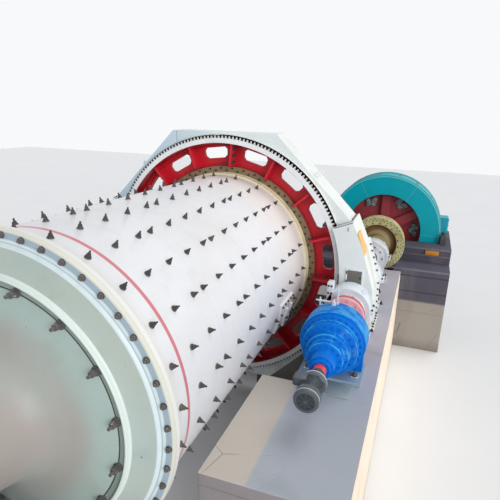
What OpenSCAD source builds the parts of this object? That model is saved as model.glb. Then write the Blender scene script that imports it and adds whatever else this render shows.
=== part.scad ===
/* [Mill] */
// Outer radius of the drum shell
shell_r = 1840; // [1500:10:2200]
// Thickness of the drum shell plate
shell_t = 45; // [25:5:80]
// Length of the drum shell over its end flanges
shell_len = 5700; // [4500:10:8000]
// Height of the bolted flange over the shell at the feed end
feed_flange_h = 120; // [90:5:150]
// Height of the bolted flange over the shell at the gear end
gear_flange_h = 165; // [130:5:200]
// Thickness of each bolted drum flange
flange_t = 60; // [40:5:90]
// Distance from a drum flange face to its main bearing's centre
bearing_reach = 1450; // [1300:10:1800]
// Height of the mill axis above the ground
axis_h = 3500; // [3300:50:6000]
// Outer radius of each trunnion
trunnion_r = 600; // [500:10:700]
// Radius of the bore through each trunnion
trunnion_bore_r = 430; // [350:10:480]
// Distance in from the shell's outside to the raised lip round a drum head
head_lip_in = 300; // [250:10:340]
// Distance in from that lip's outside to the trunnion's flange
trunnion_flange_in = 114; // [60:2:160]
// Distance from a drum head's flange out to its outer face
head_rise = 150; // [120:5:200]
// Height of the lip over the drum head's outer face
head_lip_h = 40; // [20:5:60]
// Depth of the spigot that centres a drum head in the shell
head_spigot = 40; // [20:5:80]
// Thickness of the trunnion's flange
trunnion_flange_t = 90; // [60:5:110]
// Width of the seat under the trunnion's flange
trunnion_seat_w = 120; // [80:5:160]
// Length of a main bearing
bearing_len = 560; // [450:10:650]
// Thickness of a main bearing's cap round the trunnion
bearing_cap_t = 230; // [180:10:300]
// Length of a manhole opening along the drum
manhole_len = 560; // [400:10:700]
// Width of a manhole opening round the drum
manhole_w = 420; // [300:10:500]
// Place of the manholes, from the feed end of the shell
manhole_y = 4150; // [1000:50:4300]

/* [Girth gear] */
// Module of the girth gear and pinion teeth
gear_module = 25; // [20:1:30]
// Teeth on the pinion
pinion_teeth = 25; // [25:1:29]
// Tooth thickness taken off each gear at its pitch circle
backlash = 2.4; // [1:0.2:4]
// Face width of the girth gear
gear_width = 700; // [500:10:800]
// Face width of the pinion
pinion_width = 640; // [450:10:680]
// Height of the gear's web, from the drum's bolted flange to the toothed rim
web_height = 486; // [420:2:600]
// Thickness of the toothed rim under its teeth
rim_t = 90; // [60:5:120]
// Length of the toothed rim in front of the gear's web
rim_front = 340; // [250:10:400]
// Number of windows in the gear's web
gear_windows = 16; // [12:1:18]
// Turn of the web's first rib from the horizontal, in degrees
rib_turn = 4.5; // [-10:0.5:10]
// Width of the web's ring inside its windows
window_inset = 165; // [120:5:180]
// Width of the web's ring outside its windows
window_outset = 101; // [80:1:120]
// Angle that a web window covers, in degrees
window_angle = 13; // [8:0.2:14]
// Thickness of the seal ring on the gear's front face
seal_ring_t = 12; // [8:1:20]

/* [Gear guard] */
// Gap between the gear's tooth tips and the round openings in the guard's end plates
guard_bore_gap = 12.5; // [12:0.5:20]
// Gap between the tooth tips and the guard's flat top
guard_top_gap = 62; // [50:2:150]
// Gap between the tooth tips and the guard's sloped sides
guard_slope_gap = 82; // [70:2:150]
// Gap between the tooth tips and the guard's upright sides
guard_side_gap = 82; // [70:2:150]
// Plate thickness of the guard
guard_t = 12; // [8:1:20]
// Width of the bolted flanges between the guard's sections
guard_flange_w = 365; // [310:5:400]
// Distance from the gear's front back to the upper guard's front plate
guard_front = 90; // [20:5:200]
// Distance from the gear's rim to the drive side guard's front plate
guard_nose = 110; // [90:5:160]
// How far the drive side guard's front plate reaches in over the tooth tips
guard_lap = 38; // [10:2:60]
// Distance from the gear's rim to the guard's rear plates
guard_rear = 60; // [40:5:150]
// Gap between the pinion's tooth tips and the drive side guard's outer wall
guard_nose_gap = 60; // [50:5:150]
// Height of the hatch in the drive side guard
hatch_h = 250; // [150:10:300]
// Width of the hatch in the drive side guard
hatch_w = 250; // [150:10:300]

/* [Drive line] */
// Angle of the pinion below the mill's horizontal centre line, in degrees
pinion_angle = 7; // [4:0.5:12]
// Radius of the pinion shaft
pinion_shaft_r = 160; // [120:5:190]
// Running gap between each shaft and its bearings
running_gap = 0.3; // [0.2:0.1:0.6]
// Length of each pinion shaft bearing
pinion_bearing_len = 400; // [300:10:450]
// Radius of the round top of a pinion shaft bearing
pinion_bearing_r = 430; // [350:10:460]
// Front of the near pinion bearing, from the guard's front plate
near_bearing_gap = 280; // [150:10:350]
// Front of the far pinion bearing, from the guard's rear plates
far_bearing_gap = 260; // [150:10:400]
// Distance from the clutch bearing to the clutch
clutch_bearing_gap = 990; // [300:10:1100]
// Distance from the pinion's middle to the clutch's middle
clutch_reach = 4000; // [3700:10:4100]

/* [Slow drive] */
// Radius of the reducer's largest casing
reducer_r = 530; // [450:5:580]
// Length of the reducer's largest casing
reducer_case_len = 700; // [500:10:800]
// Length of the stepped front of the reducer
reducer_nose_len = 860; // [700:10:1000]
// Distance between the reducer's casing and its half of the coupling
reducer_shaft_gap = 200; // [40:10:300]
// Radius of the toothed coupling between reducer and pinion shaft
coupling_r = 370; // [300:10:420]
// Gap between the two halves of that coupling
coupling_gap = 12; // [6:1:20]
// Radius of the small motor's body
small_motor_r = 175; // [140:5:220]
// Length of the small motor's body
small_motor_len = 480; // [400:10:800]

/* [Clutch and motor] */
// Outer radius of the clutch drum
clutch_r = 760; // [650:10:780]
// Length of the clutch drum
clutch_len = 420; // [300:10:500]
// Outer radius of the main motor's frame
motor_r = 1730; // [1600:10:1800]
// Length of the main motor's frame
motor_len = 950; // [800:10:1000]
// Radius of the opening in the motor frame's end plates
motor_open_r = 1130; // [1000:10:1250]
// Inner radius of the motor's stator core
core_r = 1410; // [1380:5:1450]
// Outer radius of the motor's rotor
rotor_r = 1380; // [1300:5:1390]
// Length of the motor's rotor
rotor_len = 520; // [400:10:600]
// Thickness of the rotor's rim
rotor_rim_t = 210; // [150:10:250]
// Thickness of the rotor's closed disc
rotor_disc_t = 80; // [40:5:120]
// Radius of the motor shaft
motor_shaft_r = 190; // [150:5:220]
// Distance from the clutch's middle to the motor's middle
motor_reach = 1970; // [1900:10:2400]
// Height of the blocks that carry the motor's frame
sole_h = 260; // [180:10:320]
// Distance that those blocks stand out past the frame's sides
sole_out = 170; // [100:10:220]
// Width of each of those blocks
sole_w = 630; // [500:10:700]

/* [Foundations] */
// Depth of all foundation tops below the mill axis
plinth_drop = 1000; // [950:10:1100]
// Half width of a main bearing's pier
pier_half_w = 1150; // [1000:10:1300]
// Length of a main bearing's pier
pier_len = 1000; // [900:10:1100]
// Gap between the guard's round opening and the drive plinth's near side
plinth_gap = 46; // [20:2:80]
// Distance from the drive line's axis to the drive plinth's outer side
plinth_reach = 747; // [650:1:900]
// Width that the plinth's broad front part adds on its near side
plinth_broad_w = 650; // [300:10:700]
// Length of the plinth's broad front part
plinth_broad_len = 2320; // [2000:10:2600]
// Half width of the motor's foundation
motor_plinth_half = 2050; // [1950:10:2200]
// Height of the motor's base over the other foundation tops
motor_base_rise = 420; // [200:10:500]
// Distance from the clutch to the motor's base
motor_base_gap = 530; // [300:10:600]
// Length of the motor's foundation
motor_plinth_len = 3300; // [3000:10:3600]

/* [Hidden] */
$fn = 96;
seat = 0.2;
// Radii of the drum
feed_flange_r = shell_r + feed_flange_h;
gear_flange_r = shell_r + gear_flange_h;
head_lip_r = shell_r - head_lip_in;
trunnion_flange_r = head_lip_r - trunnion_flange_in;
// Places along the mill, from the feed bearing's centre
shell_y0 = bearing_reach;
shell_y1 = shell_y0 + shell_len;
web_t = flange_t;
web_y1 = shell_y1 + web_t;
discharge_y = web_y1 + bearing_reach;
rim_y0 = shell_y1 - rim_front;
rim_y1 = rim_y0 + gear_width;
pinion_y = (rim_y0 + rim_y1) / 2;
// Gear geometry: the tooth count follows from the drum's flange, the web and the rim
gear_teeth = round((gear_flange_r + web_height + rim_t) * 2 / gear_module + 2.5);
gear_pitch_r = gear_module * gear_teeth / 2;
pinion_pitch_r = gear_module * pinion_teeth / 2;
gear_tip_r = gear_pitch_r + gear_module;
gear_root_r = gear_pitch_r - 1.25 * gear_module;
rim_inner_r = gear_root_r - rim_t;
window_in_r = gear_flange_r + window_inset;
window_out_r = rim_inner_r - window_outset;
pinion_tip_r = pinion_pitch_r + gear_module;
pinion_root_r = pinion_pitch_r - 1.25 * gear_module;
centre_distance = gear_pitch_r + pinion_pitch_r;
pressure_angle = 20;
// Drive line axis
drive_x = centre_distance * cos(pinion_angle);
drive_z = axis_h - centre_distance * sin(pinion_angle);
plinth_z = axis_h - plinth_drop;
// Guard planes
guard_top_y0 = rim_y0 + guard_front;
guard_side_y0 = rim_y0 - guard_nose - guard_t;
guard_y1 = rim_y1 + guard_rear;
guard_bore_r = gear_tip_r + guard_bore_gap;
guard_lap_r = gear_tip_r - guard_lap;
guard_top_h = gear_tip_r + guard_top_gap;
guard_slope = gear_tip_r + guard_slope_gap;
guard_half_w = gear_tip_r + guard_side_gap;
guard_top_corner = guard_slope * sqrt(2) - guard_top_h;
guard_side_corner = guard_slope * sqrt(2) - guard_half_w;
// The guard's sections meet on lines from the mill axis through its upright sides' corners
guard_joint_turn = atan(guard_side_corner / guard_half_w);
guard_joint_r = guard_bore_r + guard_flange_w;
guard_nose_x = drive_x + pinion_tip_r + guard_nose_gap;
guard_knee_x = guard_nose_x - 25;
guard_knee_h = -150;
guard_shoulder_x = guard_half_w + 280;
guard_shoulder_h = guard_side_corner - 446;
guard_foot_drop = plinth_drop;
// Plinth faces
plinth_in_x = sqrt(guard_bore_r * guard_bore_r - plinth_drop * plinth_drop) + plinth_gap;
plinth_out_x = drive_x + plinth_reach;
plinth_broad_x = plinth_in_x - plinth_broad_w;
// Drive line places along the mill
near_bearing_y1 = guard_side_y0 - near_bearing_gap;
near_bearing_y0 = near_bearing_y1 - pinion_bearing_len;
far_bearing_y0 = guard_y1 + far_bearing_gap;
clutch_y0 = pinion_y + clutch_reach - clutch_len / 2;
clutch_y1 = clutch_y0 + clutch_len;
clutch_bearing_y0 = clutch_y0 - clutch_bearing_gap - pinion_bearing_len;
spider_t = 90;
spider_y = (clutch_len - spider_t) * 0.6;
shaft_meet = clutch_len * 0.36;
coupling_y1 = near_bearing_y0 - 60;
coupling_half_len = 190;
coupling_y0 = coupling_y1 - 2 * coupling_half_len - coupling_gap;
reducer_y1 = coupling_y0 - reducer_shaft_gap;
reducer_case_y0 = reducer_y1 - reducer_case_len;
reducer_nose_y0 = reducer_case_y0 - reducer_nose_len;
neck_len = 90;
neck_r = 95;
// Stand-off of the saddle from the reducer's casing
saddle_seat = 0.8;
adapter_len = 250;
adapter_r = 85;
adapter_y0 = reducer_nose_y0 - neck_len - adapter_len;
small_motor_y0 = adapter_y0 - small_motor_len;
cowl_len = 150;
// Main motor places along the mill
motor_y0 = clutch_y0 + clutch_len / 2 + motor_reach - motor_len / 2;
motor_y1 = motor_y0 + motor_len;
motor_plate_t = 60;
motor_bearing_len = 320;
motor_bearing_y0 = motor_y0 - 460;
motor_bearing_y1 = motor_y1 + 140;
motor_plinth_y0 = clutch_y0 + 200;
motor_plinth_y1 = motor_plinth_y0 + motor_plinth_len;
pit_margin = 60;
motor_base_y0 = clutch_y1 + motor_base_gap;
motor_base_z = plinth_z + motor_base_rise;
shaft_slot_half = 620;
// Foundation places
plinth_y0 = 2050;
plinth_y1 = motor_plinth_y0;
clutch_slot_y0 = clutch_y0 - 240;
clutch_slot_y1 = clutch_y1 + 110;
clutch_slot_half = 520;
clutch_slot_z = drive_z - clutch_r - 150;
// Main bearing sizes
bearing_cap_r = trunnion_r + bearing_cap_t;
bearing_half_w = bearing_cap_r + 70;

// Puts children that are made along +Z onto the mill axis direction +Y
module along(x, y, z) {
    translate([x, y, z]) rotate([-90, 0, 0]) children();
}

// A plain ring or disc round an axis along the mill
module ring(x, y, z, outer, inner, len) {
    along(x, y, z) difference() {
        cylinder(h = len, r = outer);
        if (inner > 0) translate([0, 0, -1]) cylinder(h = len + 2, r = inner);
    }
}

// A drawing in the X Z plane round the mill axis, made solid from y0 to y1
module cross_plate(y0, y1) {
    translate([0, y1, axis_h]) rotate([90, 0, 0]) linear_extrude(y1 - y0) children();
}

// The same round the drive line's axis
module drive_plate(y0, y1) {
    translate([drive_x, y1, drive_z]) rotate([90, 0, 0]) linear_extrude(y1 - y0) children();
}

// A box given by its low and high corners
module block(low, high) {
    translate(low) cube([high[0] - low[0], high[1] - low[1], high[2] - low[2]]);
}

// Involute tooth outlines
function degrees(x) = x * 180 / PI;
function involute(a) = degrees(tan(a)) - a;
function half_tooth(r, pitch_r, teeth) =
    let (base_r = pitch_r * cos(pressure_angle), at = max(r, base_r))
    90 / teeth - degrees(backlash / 2 / pitch_r) + involute(pressure_angle) - involute(acos(base_r / at));
function gear_points(teeth, pitch_r, radii, turn) = [
    for (i = [0 : teeth - 1])
        for (side = [-1, 1])
            for (k = [0 : len(radii) - 1])
                let (r = side < 0 ? radii[k] : radii[len(radii) - 1 - k])
                let (a = turn + i * 360 / teeth + side * half_tooth(r, pitch_r, teeth))
                [r * cos(a), r * sin(a)]
];

// Corner points of a flat-sided hole that clears a circle of radius r
function hole_points(r, sides) = [
    let (corner_r = r / cos(180 / sides))
    for (i = [0 : sides - 1])
        let (a = (i + 0.5) * 360 / sides)
        [corner_r * cos(a), corner_r * sin(a)]
];

module concrete() {
    color([0.62, 0.61, 0.63]) children();
}

module feed_pier() {
    concrete() block([-pier_half_w, -pier_len / 2, 0], [pier_half_w, pier_len / 2, plinth_z]);
}

module discharge_pier() {
    concrete()
        block([-pier_half_w, discharge_y - pier_len / 2, 0],
              [plinth_in_x, discharge_y + pier_len / 2, plinth_z]);
}

module drive_plinth() {
    concrete() difference() {
        union() {
            block([plinth_in_x, plinth_y0, 0], [plinth_out_x, plinth_y1, plinth_z]);
            block([plinth_broad_x, plinth_y0, 0],
                  [plinth_out_x, plinth_y0 + plinth_broad_len, plinth_z]);
        }
        block([plinth_in_x - 1, clutch_slot_y0, clutch_slot_z],
              [plinth_out_x + 1, plinth_y1 + 1, plinth_z + 1]);
    }
}

module motor_plinth() {
    concrete() difference() {
        union() {
            block([drive_x - motor_plinth_half, motor_plinth_y0, 0],
                  [drive_x + motor_plinth_half, motor_plinth_y1, plinth_z]);
            block([drive_x - motor_plinth_half, motor_base_y0, plinth_z - 1],
                  [drive_x + motor_plinth_half, motor_plinth_y1, motor_base_z]);
        }
        block([drive_x - motor_r - pit_margin, motor_y0 - pit_margin, drive_z - motor_r - pit_margin],
              [drive_x + motor_r + pit_margin, motor_y1 + pit_margin, motor_base_z + 1]);
        block([drive_x - shaft_slot_half, motor_base_y0 - 1, plinth_z],
              [drive_x + shaft_slot_half, motor_plinth_y1 + 1, motor_base_z + 1]);
        block([drive_x - clutch_slot_half, motor_plinth_y0 - 1, clutch_slot_z],
              [drive_x + clutch_slot_half, clutch_slot_y1, plinth_z + 1]);
    }
}

// Lower half of a main bearing, on its pier
module main_bearing_base(y) {
    color([0.78, 0.82, 0.80]) difference() {
        union() {
            block([-bearing_half_w, y - bearing_len / 2, plinth_z],
                  [bearing_half_w, y + bearing_len / 2, plinth_z + 120]);
            block([-bearing_cap_r, y - bearing_len / 2 + 40, plinth_z + 120],
                  [bearing_cap_r, y + bearing_len / 2 - 40, axis_h]);
        }
        along(0, y - bearing_len, axis_h) cylinder(h = 2 * bearing_len, r = trunnion_r + running_gap);
    }
}

// Upper half of a main bearing
module main_bearing_cap(y) {
    color([0.80, 0.84, 0.82]) difference() {
        along(0, y - bearing_len / 2 + 40, axis_h) cylinder(h = bearing_len - 80, r = bearing_cap_r);
        block([-bearing_cap_r - 1, y - bearing_len, axis_h - bearing_cap_r - 1],
              [bearing_cap_r + 1, y + bearing_len, axis_h]);
        along(0, y - bearing_len, axis_h) cylinder(h = 2 * bearing_len, r = trunnion_r + running_gap);
    }
}

module feed_bearing_base() {
    main_bearing_base(0);
}

module feed_bearing_cap() {
    main_bearing_cap(0);
}

module discharge_bearing_base() {
    main_bearing_base(discharge_y);
}

module discharge_bearing_cap() {
    main_bearing_cap(discharge_y);
}

// A rectangular cutter through the drum wall on the manhole's side
manhole_turns = [13, 193];
module manhole_box(turn, len, w, low, high) {
    translate([0, shell_y0 + manhole_y, axis_h]) rotate([0, turn, 0])
        translate([low, -len / 2, -w / 2]) cube([high - low, len, w]);
}

module shell() {
    color([0.90, 0.91, 0.92]) difference() {
        along(0, shell_y0, axis_h) rotate_extrude() polygon([
            [shell_r - shell_t, 0], [feed_flange_r, 0], [feed_flange_r, flange_t],
            [shell_r + 25, flange_t], [shell_r, flange_t + 25],
            [shell_r, shell_len - flange_t - 150], [shell_r + 35, shell_len - flange_t - 150],
            [shell_r + 35, shell_len - flange_t], [gear_flange_r, shell_len - flange_t],
            [gear_flange_r, shell_len], [shell_r - shell_t, shell_len]
        ]);
        for (turn = manhole_turns)
            manhole_box(turn, manhole_len, manhole_w, shell_r - 400, shell_r + 400);
    }
}

module manhole_covers() {
    color([0.86, 0.88, 0.88])
        for (turn = manhole_turns)
            intersection() {
                ring(0, shell_y0 + manhole_y - manhole_len, axis_h, shell_r + 48, shell_r + seat, 2 * manhole_len);
                manhole_box(turn, manhole_len + 160, manhole_w + 160, shell_r - 400, shell_r + 100);
            }
}

// Half section of a drum head: radius, then distance outward from the flange face it seats on
head_face = flange_t + head_rise;
trunnion_face = head_face + 10;
trunnion_seat = trunnion_face - trunnion_flange_t;
head_seat_r = trunnion_flange_r - trunnion_seat_w;
head_outline = [
    [head_seat_r, -head_spigot], [shell_r - shell_t - 3, -head_spigot], [shell_r - shell_t - 3, 0],
    [feed_flange_r, 0], [feed_flange_r, flange_t], [shell_r + 28, flange_t], [shell_r + 28, flange_t + 12],
    [shell_r - 20, flange_t + 12], [shell_r - 36, flange_t + 40], [head_lip_r, head_face - 15],
    [head_lip_r - 8, head_face + head_lip_h], [head_lip_r - 30, head_face + head_lip_h], [head_lip_r - 30, head_face],
    [trunnion_flange_r, head_face], [trunnion_flange_r, trunnion_seat], [head_seat_r, trunnion_seat]
];

// Half section of a trunnion, from its flange on the head to its outer end
neck_reach = bearing_reach - bearing_len / 2 - head_face;
trunnion_end = bearing_reach + bearing_len / 2 + 90;
trunnion_outline = [
    [trunnion_bore_r, -head_spigot], [head_seat_r - 1, -head_spigot], [head_seat_r - 1, trunnion_seat + 1],
    [trunnion_flange_r - seat, trunnion_seat + 1], [trunnion_flange_r - seat, trunnion_face],
    [trunnion_flange_r - 60, trunnion_face + 15], [trunnion_r * 1.433, head_face + neck_reach * 0.22],
    [trunnion_r * 1.15, head_face + neck_reach * 0.43], [trunnion_r * 1.05, head_face + neck_reach * 0.78],
    [trunnion_r * 1.05, head_face + neck_reach - 30], [trunnion_r, head_face + neck_reach - 10],
    [trunnion_r, trunnion_end - 70], [trunnion_r + 60, trunnion_end - 70],
    [trunnion_r + 60, trunnion_end], [trunnion_bore_r, trunnion_end]
];

module feed_head() {
    color([0.68, 0.74, 0.71]) translate([0, shell_y0, axis_h]) rotate([90, 0, 0])
        rotate_extrude() polygon(head_outline);
}

module discharge_head() {
    color([0.68, 0.74, 0.71]) along(0, web_y1, axis_h) rotate_extrude() polygon(head_outline);
}

module feed_trunnion() {
    color([0.66, 0.72, 0.70]) translate([0, shell_y0, axis_h]) rotate([90, 0, 0])
        rotate_extrude() polygon(trunnion_outline);
}

module discharge_trunnion() {
    color([0.66, 0.72, 0.70]) along(0, web_y1, axis_h) rotate_extrude() polygon(trunnion_outline);
}

module girth_gear() {
    color([0.55, 0.53, 0.52]) cross_plate(rim_y0, rim_y1) difference() {
        polygon(gear_points(gear_teeth, gear_pitch_r, [gear_root_r, gear_pitch_r, gear_tip_r], -pinion_angle));
        polygon(hole_points(rim_inner_r, 120));
    }
}

// One window of the web, drawn across +X with cut corners
module web_window() {
    half = window_angle / 2;
    corner = 55;
    in_w = window_in_r * tan(half);
    out_w = window_out_r * tan(half);
    polygon([
        [window_in_r, -in_w + corner], [window_in_r + corner, -in_w - corner * tan(half)],
        [window_out_r - corner, -out_w + corner * tan(half)], [window_out_r, -out_w + corner],
        [window_out_r, out_w - corner], [window_out_r - corner, out_w - corner * tan(half)],
        [window_in_r + corner, in_w + corner * tan(half)], [window_in_r, in_w - corner]
    ]);
}

// Web of the gear: flange, ring of windows and stiffening ribs before and behind it
module gear_web() {
    rib_t = 45;
    pitch = 360 / gear_windows;
    color([0.72, 0.10, 0.17]) union() {
        cross_plate(shell_y1, web_y1) difference() {
            circle(r = rim_inner_r - seat);
            circle(r = shell_r - shell_t - 1);
            for (i = [0 : gear_windows - 1])
                rotate(i * pitch + pitch / 2 - rib_turn) web_window();
        }
        for (i = [0 : gear_windows - 1])
            translate([0, 0, axis_h]) rotate([0, i * pitch + rib_turn, 0]) {
                block([gear_flange_r + 15, rim_y0 + 60, -rib_t / 2],
                      [rim_inner_r - 6, shell_y1 + 1, rib_t / 2]);
                block([gear_flange_r + 15, web_y1 - 1, -rib_t / 2],
                      [rim_inner_r - 6, rim_y1 - 60, rib_t / 2]);
            }
    }
}

module gear_seal_ring() {
    color([0.88, 0.89, 0.89])
        ring(0, rim_y0 - seal_ring_t, axis_h, gear_root_r + 4, rim_inner_r, seal_ring_t);
}

// Corner of two octagon plates, moved in by the plate's thickness t
function upper_corner(t) = [guard_top_corner - t * (sqrt(2) - 1), guard_top_h - t];
function side_corner(t) = [guard_half_w - t, guard_side_corner - t * (sqrt(2) - 1)];
function flipped(p, x, z) = [p[0] * x, p[1] * z];

// Sheet box with round openings in both end plates, given as its outside and its inside
module guard_shell(y0, y1) {
    difference() {
        cross_plate(y0, y1) children(0);
        cross_plate(y0 + guard_t, y1 - guard_t) children(1);
        ring(0, y0 - 1, axis_h, guard_bore_r, 0, y1 - y0 + 2, $fn = 360);
    }
}

// Bolted flange of a section along a joint line, on the line's upper or lower side
module joint_flange(y0, turn, above) {
    cross_plate(y0, guard_y1) rotate(turn)
        translate([guard_bore_r + seat, above ? 0 : -guard_t]) square([guard_flange_w, guard_t]);
}

// Takes a section's face back from a joint line, so that the next section seats on it with the named clearance
module joint_relief(y0, turn, above) {
    cross_plate(y0 - 1, guard_y1 + 1) rotate(turn)
        translate([guard_bore_r * 0.9, above ? -1 : -seat])
            square([guard_bore_r * 0.1 + guard_flange_w + 100, seat + 1]);
}

module guard_top() {
    color([0.90, 0.92, 0.92]) difference() {
        union() {
            guard_shell(guard_top_y0, guard_y1) {
                polygon([[0, 0], side_corner(0), upper_corner(0), flipped(upper_corner(0), -1, 1),
                    flipped(side_corner(0), -1, 1)]);
                polygon([[0, -60], side_corner(guard_t) - [0, 45], side_corner(guard_t), upper_corner(guard_t),
                    flipped(upper_corner(guard_t), -1, 1), flipped(side_corner(guard_t), -1, 1),
                    flipped(side_corner(guard_t) - [0, 45], -1, 1)]);
            }
            joint_flange(guard_top_y0, guard_joint_turn, true);
            joint_flange(guard_top_y0, 180 - guard_joint_turn, false);
        }
        joint_relief(guard_top_y0, guard_joint_turn, true);
        joint_relief(guard_top_y0, 180 - guard_joint_turn, false);
    }
}

// Drive side guard: covers the pinion and stands on the plinth
function on_joint(r, drop) = [
    r * cos(guard_joint_turn) + drop * sin(guard_joint_turn), r * sin(guard_joint_turn) - drop * cos(guard_joint_turn)
];
function drive_side(t) = [
    on_joint(guard_joint_r - t * 1.4, t), [guard_shoulder_x - t, guard_shoulder_h],
    [guard_knee_x - t, guard_knee_h], [guard_nose_x - t, -guard_foot_drop]
];

module guard_drive_side() {
    color([0.89, 0.91, 0.91]) difference() {
        cross_plate(guard_side_y0, guard_y1)
            polygon(concat([on_joint(guard_bore_r * 0.9, 0)], drive_side(0),
                [[plinth_in_x, -guard_foot_drop], [plinth_in_x - 60, -guard_foot_drop + 60],
                [guard_bore_r * 0.85, 0]]));
        cross_plate(guard_side_y0 + guard_t, guard_y1 - guard_t)
            polygon(concat([on_joint(guard_bore_r * 0.85, guard_t)], drive_side(guard_t),
                [[guard_nose_x - guard_t, -guard_foot_drop - 1], [plinth_in_x - 100, -guard_foot_drop - 1],
                [guard_bore_r * 0.8, 0]]));
        ring(0, guard_side_y0 - 1, axis_h, guard_lap_r, 0, guard_t + 2, $fn = 360);
        ring(0, guard_side_y0 + guard_t, axis_h, guard_bore_r, 0, guard_y1 - guard_side_y0, $fn = 360);
        ring(drive_x, guard_side_y0 - 1, drive_z, pinion_shaft_r + 20, 0, guard_y1 - guard_side_y0 + 2);
        block([hatch_x, guard_side_y0 - 1, hatch_z],
              [hatch_x + hatch_w, guard_side_y0 + guard_t + 1, hatch_z + hatch_h]);
    }
}

// Hatch door over its opening in the drive side guard
hatch_x = drive_x - 126;
hatch_z = drive_z + 298;
module guard_hatch() {
    color([0.45, 0.44, 0.42])
        block([hatch_x - 20, guard_side_y0 - 10, hatch_z - 20],
              [hatch_x + hatch_w + 20, guard_side_y0, hatch_z + hatch_h + 20]);
}

// Left side guard, between two joint lines
module guard_left_side() {
    color([0.90, 0.92, 0.92]) union() {
        guard_shell(guard_top_y0, guard_y1) {
            polygon([[0, 0], flipped(side_corner(0), -1, 1), flipped(side_corner(0), -1, -1)]);
            polygon([[60, 0], flipped(side_corner(guard_t), -1, 1) + [0, 60],
                flipped(side_corner(guard_t), -1, -1) - [0, 60]]);
        }
        joint_flange(guard_top_y0, 180 - guard_joint_turn, true);
        joint_flange(guard_top_y0, 180 + guard_joint_turn, false);
    }
}

// Trough under the gear, between the plinth and the left guard
sump_x = plinth_in_x - 10;
sump_z = -guard_slope * sqrt(2) + sump_x;
function sump(t) = [
    flipped(side_corner(t), -1, -1), flipped(upper_corner(t), -1, -1), flipped(upper_corner(t), 1, -1),
    [sump_x - t, sump_z + t * (sqrt(2) - 1)]
];

module guard_sump() {
    color([0.80, 0.82, 0.82]) difference() {
        union() {
            guard_shell(guard_top_y0, guard_y1) {
                polygon(concat([[0, 0]], sump(0), [[sump_x, -guard_foot_drop]]));
                polygon(concat([[0, 60], flipped(side_corner(guard_t), -1, -1) + [0, 45]], sump(guard_t),
                    [[sump_x - guard_t, -guard_foot_drop + 60]]));
            }
            joint_flange(guard_top_y0, 180 + guard_joint_turn, true);
        }
        joint_relief(guard_top_y0, 180 + guard_joint_turn, true);
    }
}

// Steel trestle that carries the trough
module guard_stand() {
    leg = 150;
    top = axis_h - guard_top_h;
    color([0.38, 0.40, 0.42]) for (x = [-guard_top_corner + leg, guard_top_corner - 2 * leg]) {
        for (y = [guard_top_y0, guard_y1 - leg])
            block([x, y, 0], [x + leg, y + leg, top - leg]);
        block([x, guard_top_y0, top - leg], [x + leg, guard_y1, top]);
    }
}

pinion_radii = [
    pinion_root_r, pinion_pitch_r * cos(pressure_angle), pinion_pitch_r - 6, pinion_pitch_r + 8, pinion_tip_r
];
module pinion() {
    color([0.55, 0.54, 0.53]) drive_plate(pinion_y - pinion_width / 2, pinion_y + pinion_width / 2)
        difference() {
            polygon(gear_points(pinion_teeth, pinion_pitch_r, pinion_radii,
                180 - pinion_angle + 180 / pinion_teeth));
            polygon(hole_points(pinion_shaft_r + seat, 60));
        }
}

// Shaft from the slow drive's coupling to the clutch
module pinion_shaft() {
    color([0.70, 0.70, 0.70])
        along(drive_x, coupling_y1 - coupling_half_len, drive_z)
            cylinder(h = clutch_y0 + shaft_meet - 30 - coupling_y1 + coupling_half_len, r = pinion_shaft_r);
}

// Plummer block on the plinth, with a round top and a bolted foot
line_foot_half = drive_x - plinth_in_x + 40;
module shaft_bearing(y0, shaft_r, top_r, len, foot_half) {
    difference() {
        union() {
            along(drive_x, y0, drive_z) cylinder(h = len, r = top_r);
            block([drive_x - top_r * 0.8, y0 + 20, plinth_z + 70], [drive_x + top_r * 0.8, y0 + len - 20, drive_z]);
            block([drive_x - foot_half, y0 + 10, plinth_z], [drive_x + foot_half, y0 + len - 10, plinth_z + 90]);
        }
        ring(drive_x, y0 - 1, drive_z, shaft_r + running_gap, 0, len + 2);
    }
}

module pinion_bearing_near() {
    color([0.87, 0.89, 0.89])
        shaft_bearing(near_bearing_y0, pinion_shaft_r, pinion_bearing_r, pinion_bearing_len, line_foot_half);
}

module pinion_bearing_far() {
    color([0.87, 0.89, 0.89])
        shaft_bearing(far_bearing_y0, pinion_shaft_r, pinion_bearing_r, pinion_bearing_len, line_foot_half);
}

module clutch_bearing() {
    color([0.80, 0.82, 0.83])
        shaft_bearing(clutch_bearing_y0, pinion_shaft_r, pinion_bearing_r, pinion_bearing_len, line_foot_half);
}

// One half of the toothed coupling, its flange towards the other half
module coupling_half(bore_r) {
    rotate_extrude() polygon([
        [bore_r, 0], [coupling_r, 0], [coupling_r, 70], [coupling_r * 0.7, 90],
        [coupling_r * 0.62, coupling_half_len], [bore_r, coupling_half_len]
    ]);
}

module pinion_coupling_half() {
    color([0.75, 0.20, 0.25]) along(drive_x, coupling_y1 - coupling_half_len, drive_z)
        coupling_half(pinion_shaft_r + seat);
}

module reducer_coupling_half() {
    color([0.75, 0.22, 0.27]) translate([drive_x, coupling_y0 + coupling_half_len, drive_z])
        rotate([90, 0, 0]) coupling_half(100);
}

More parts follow.
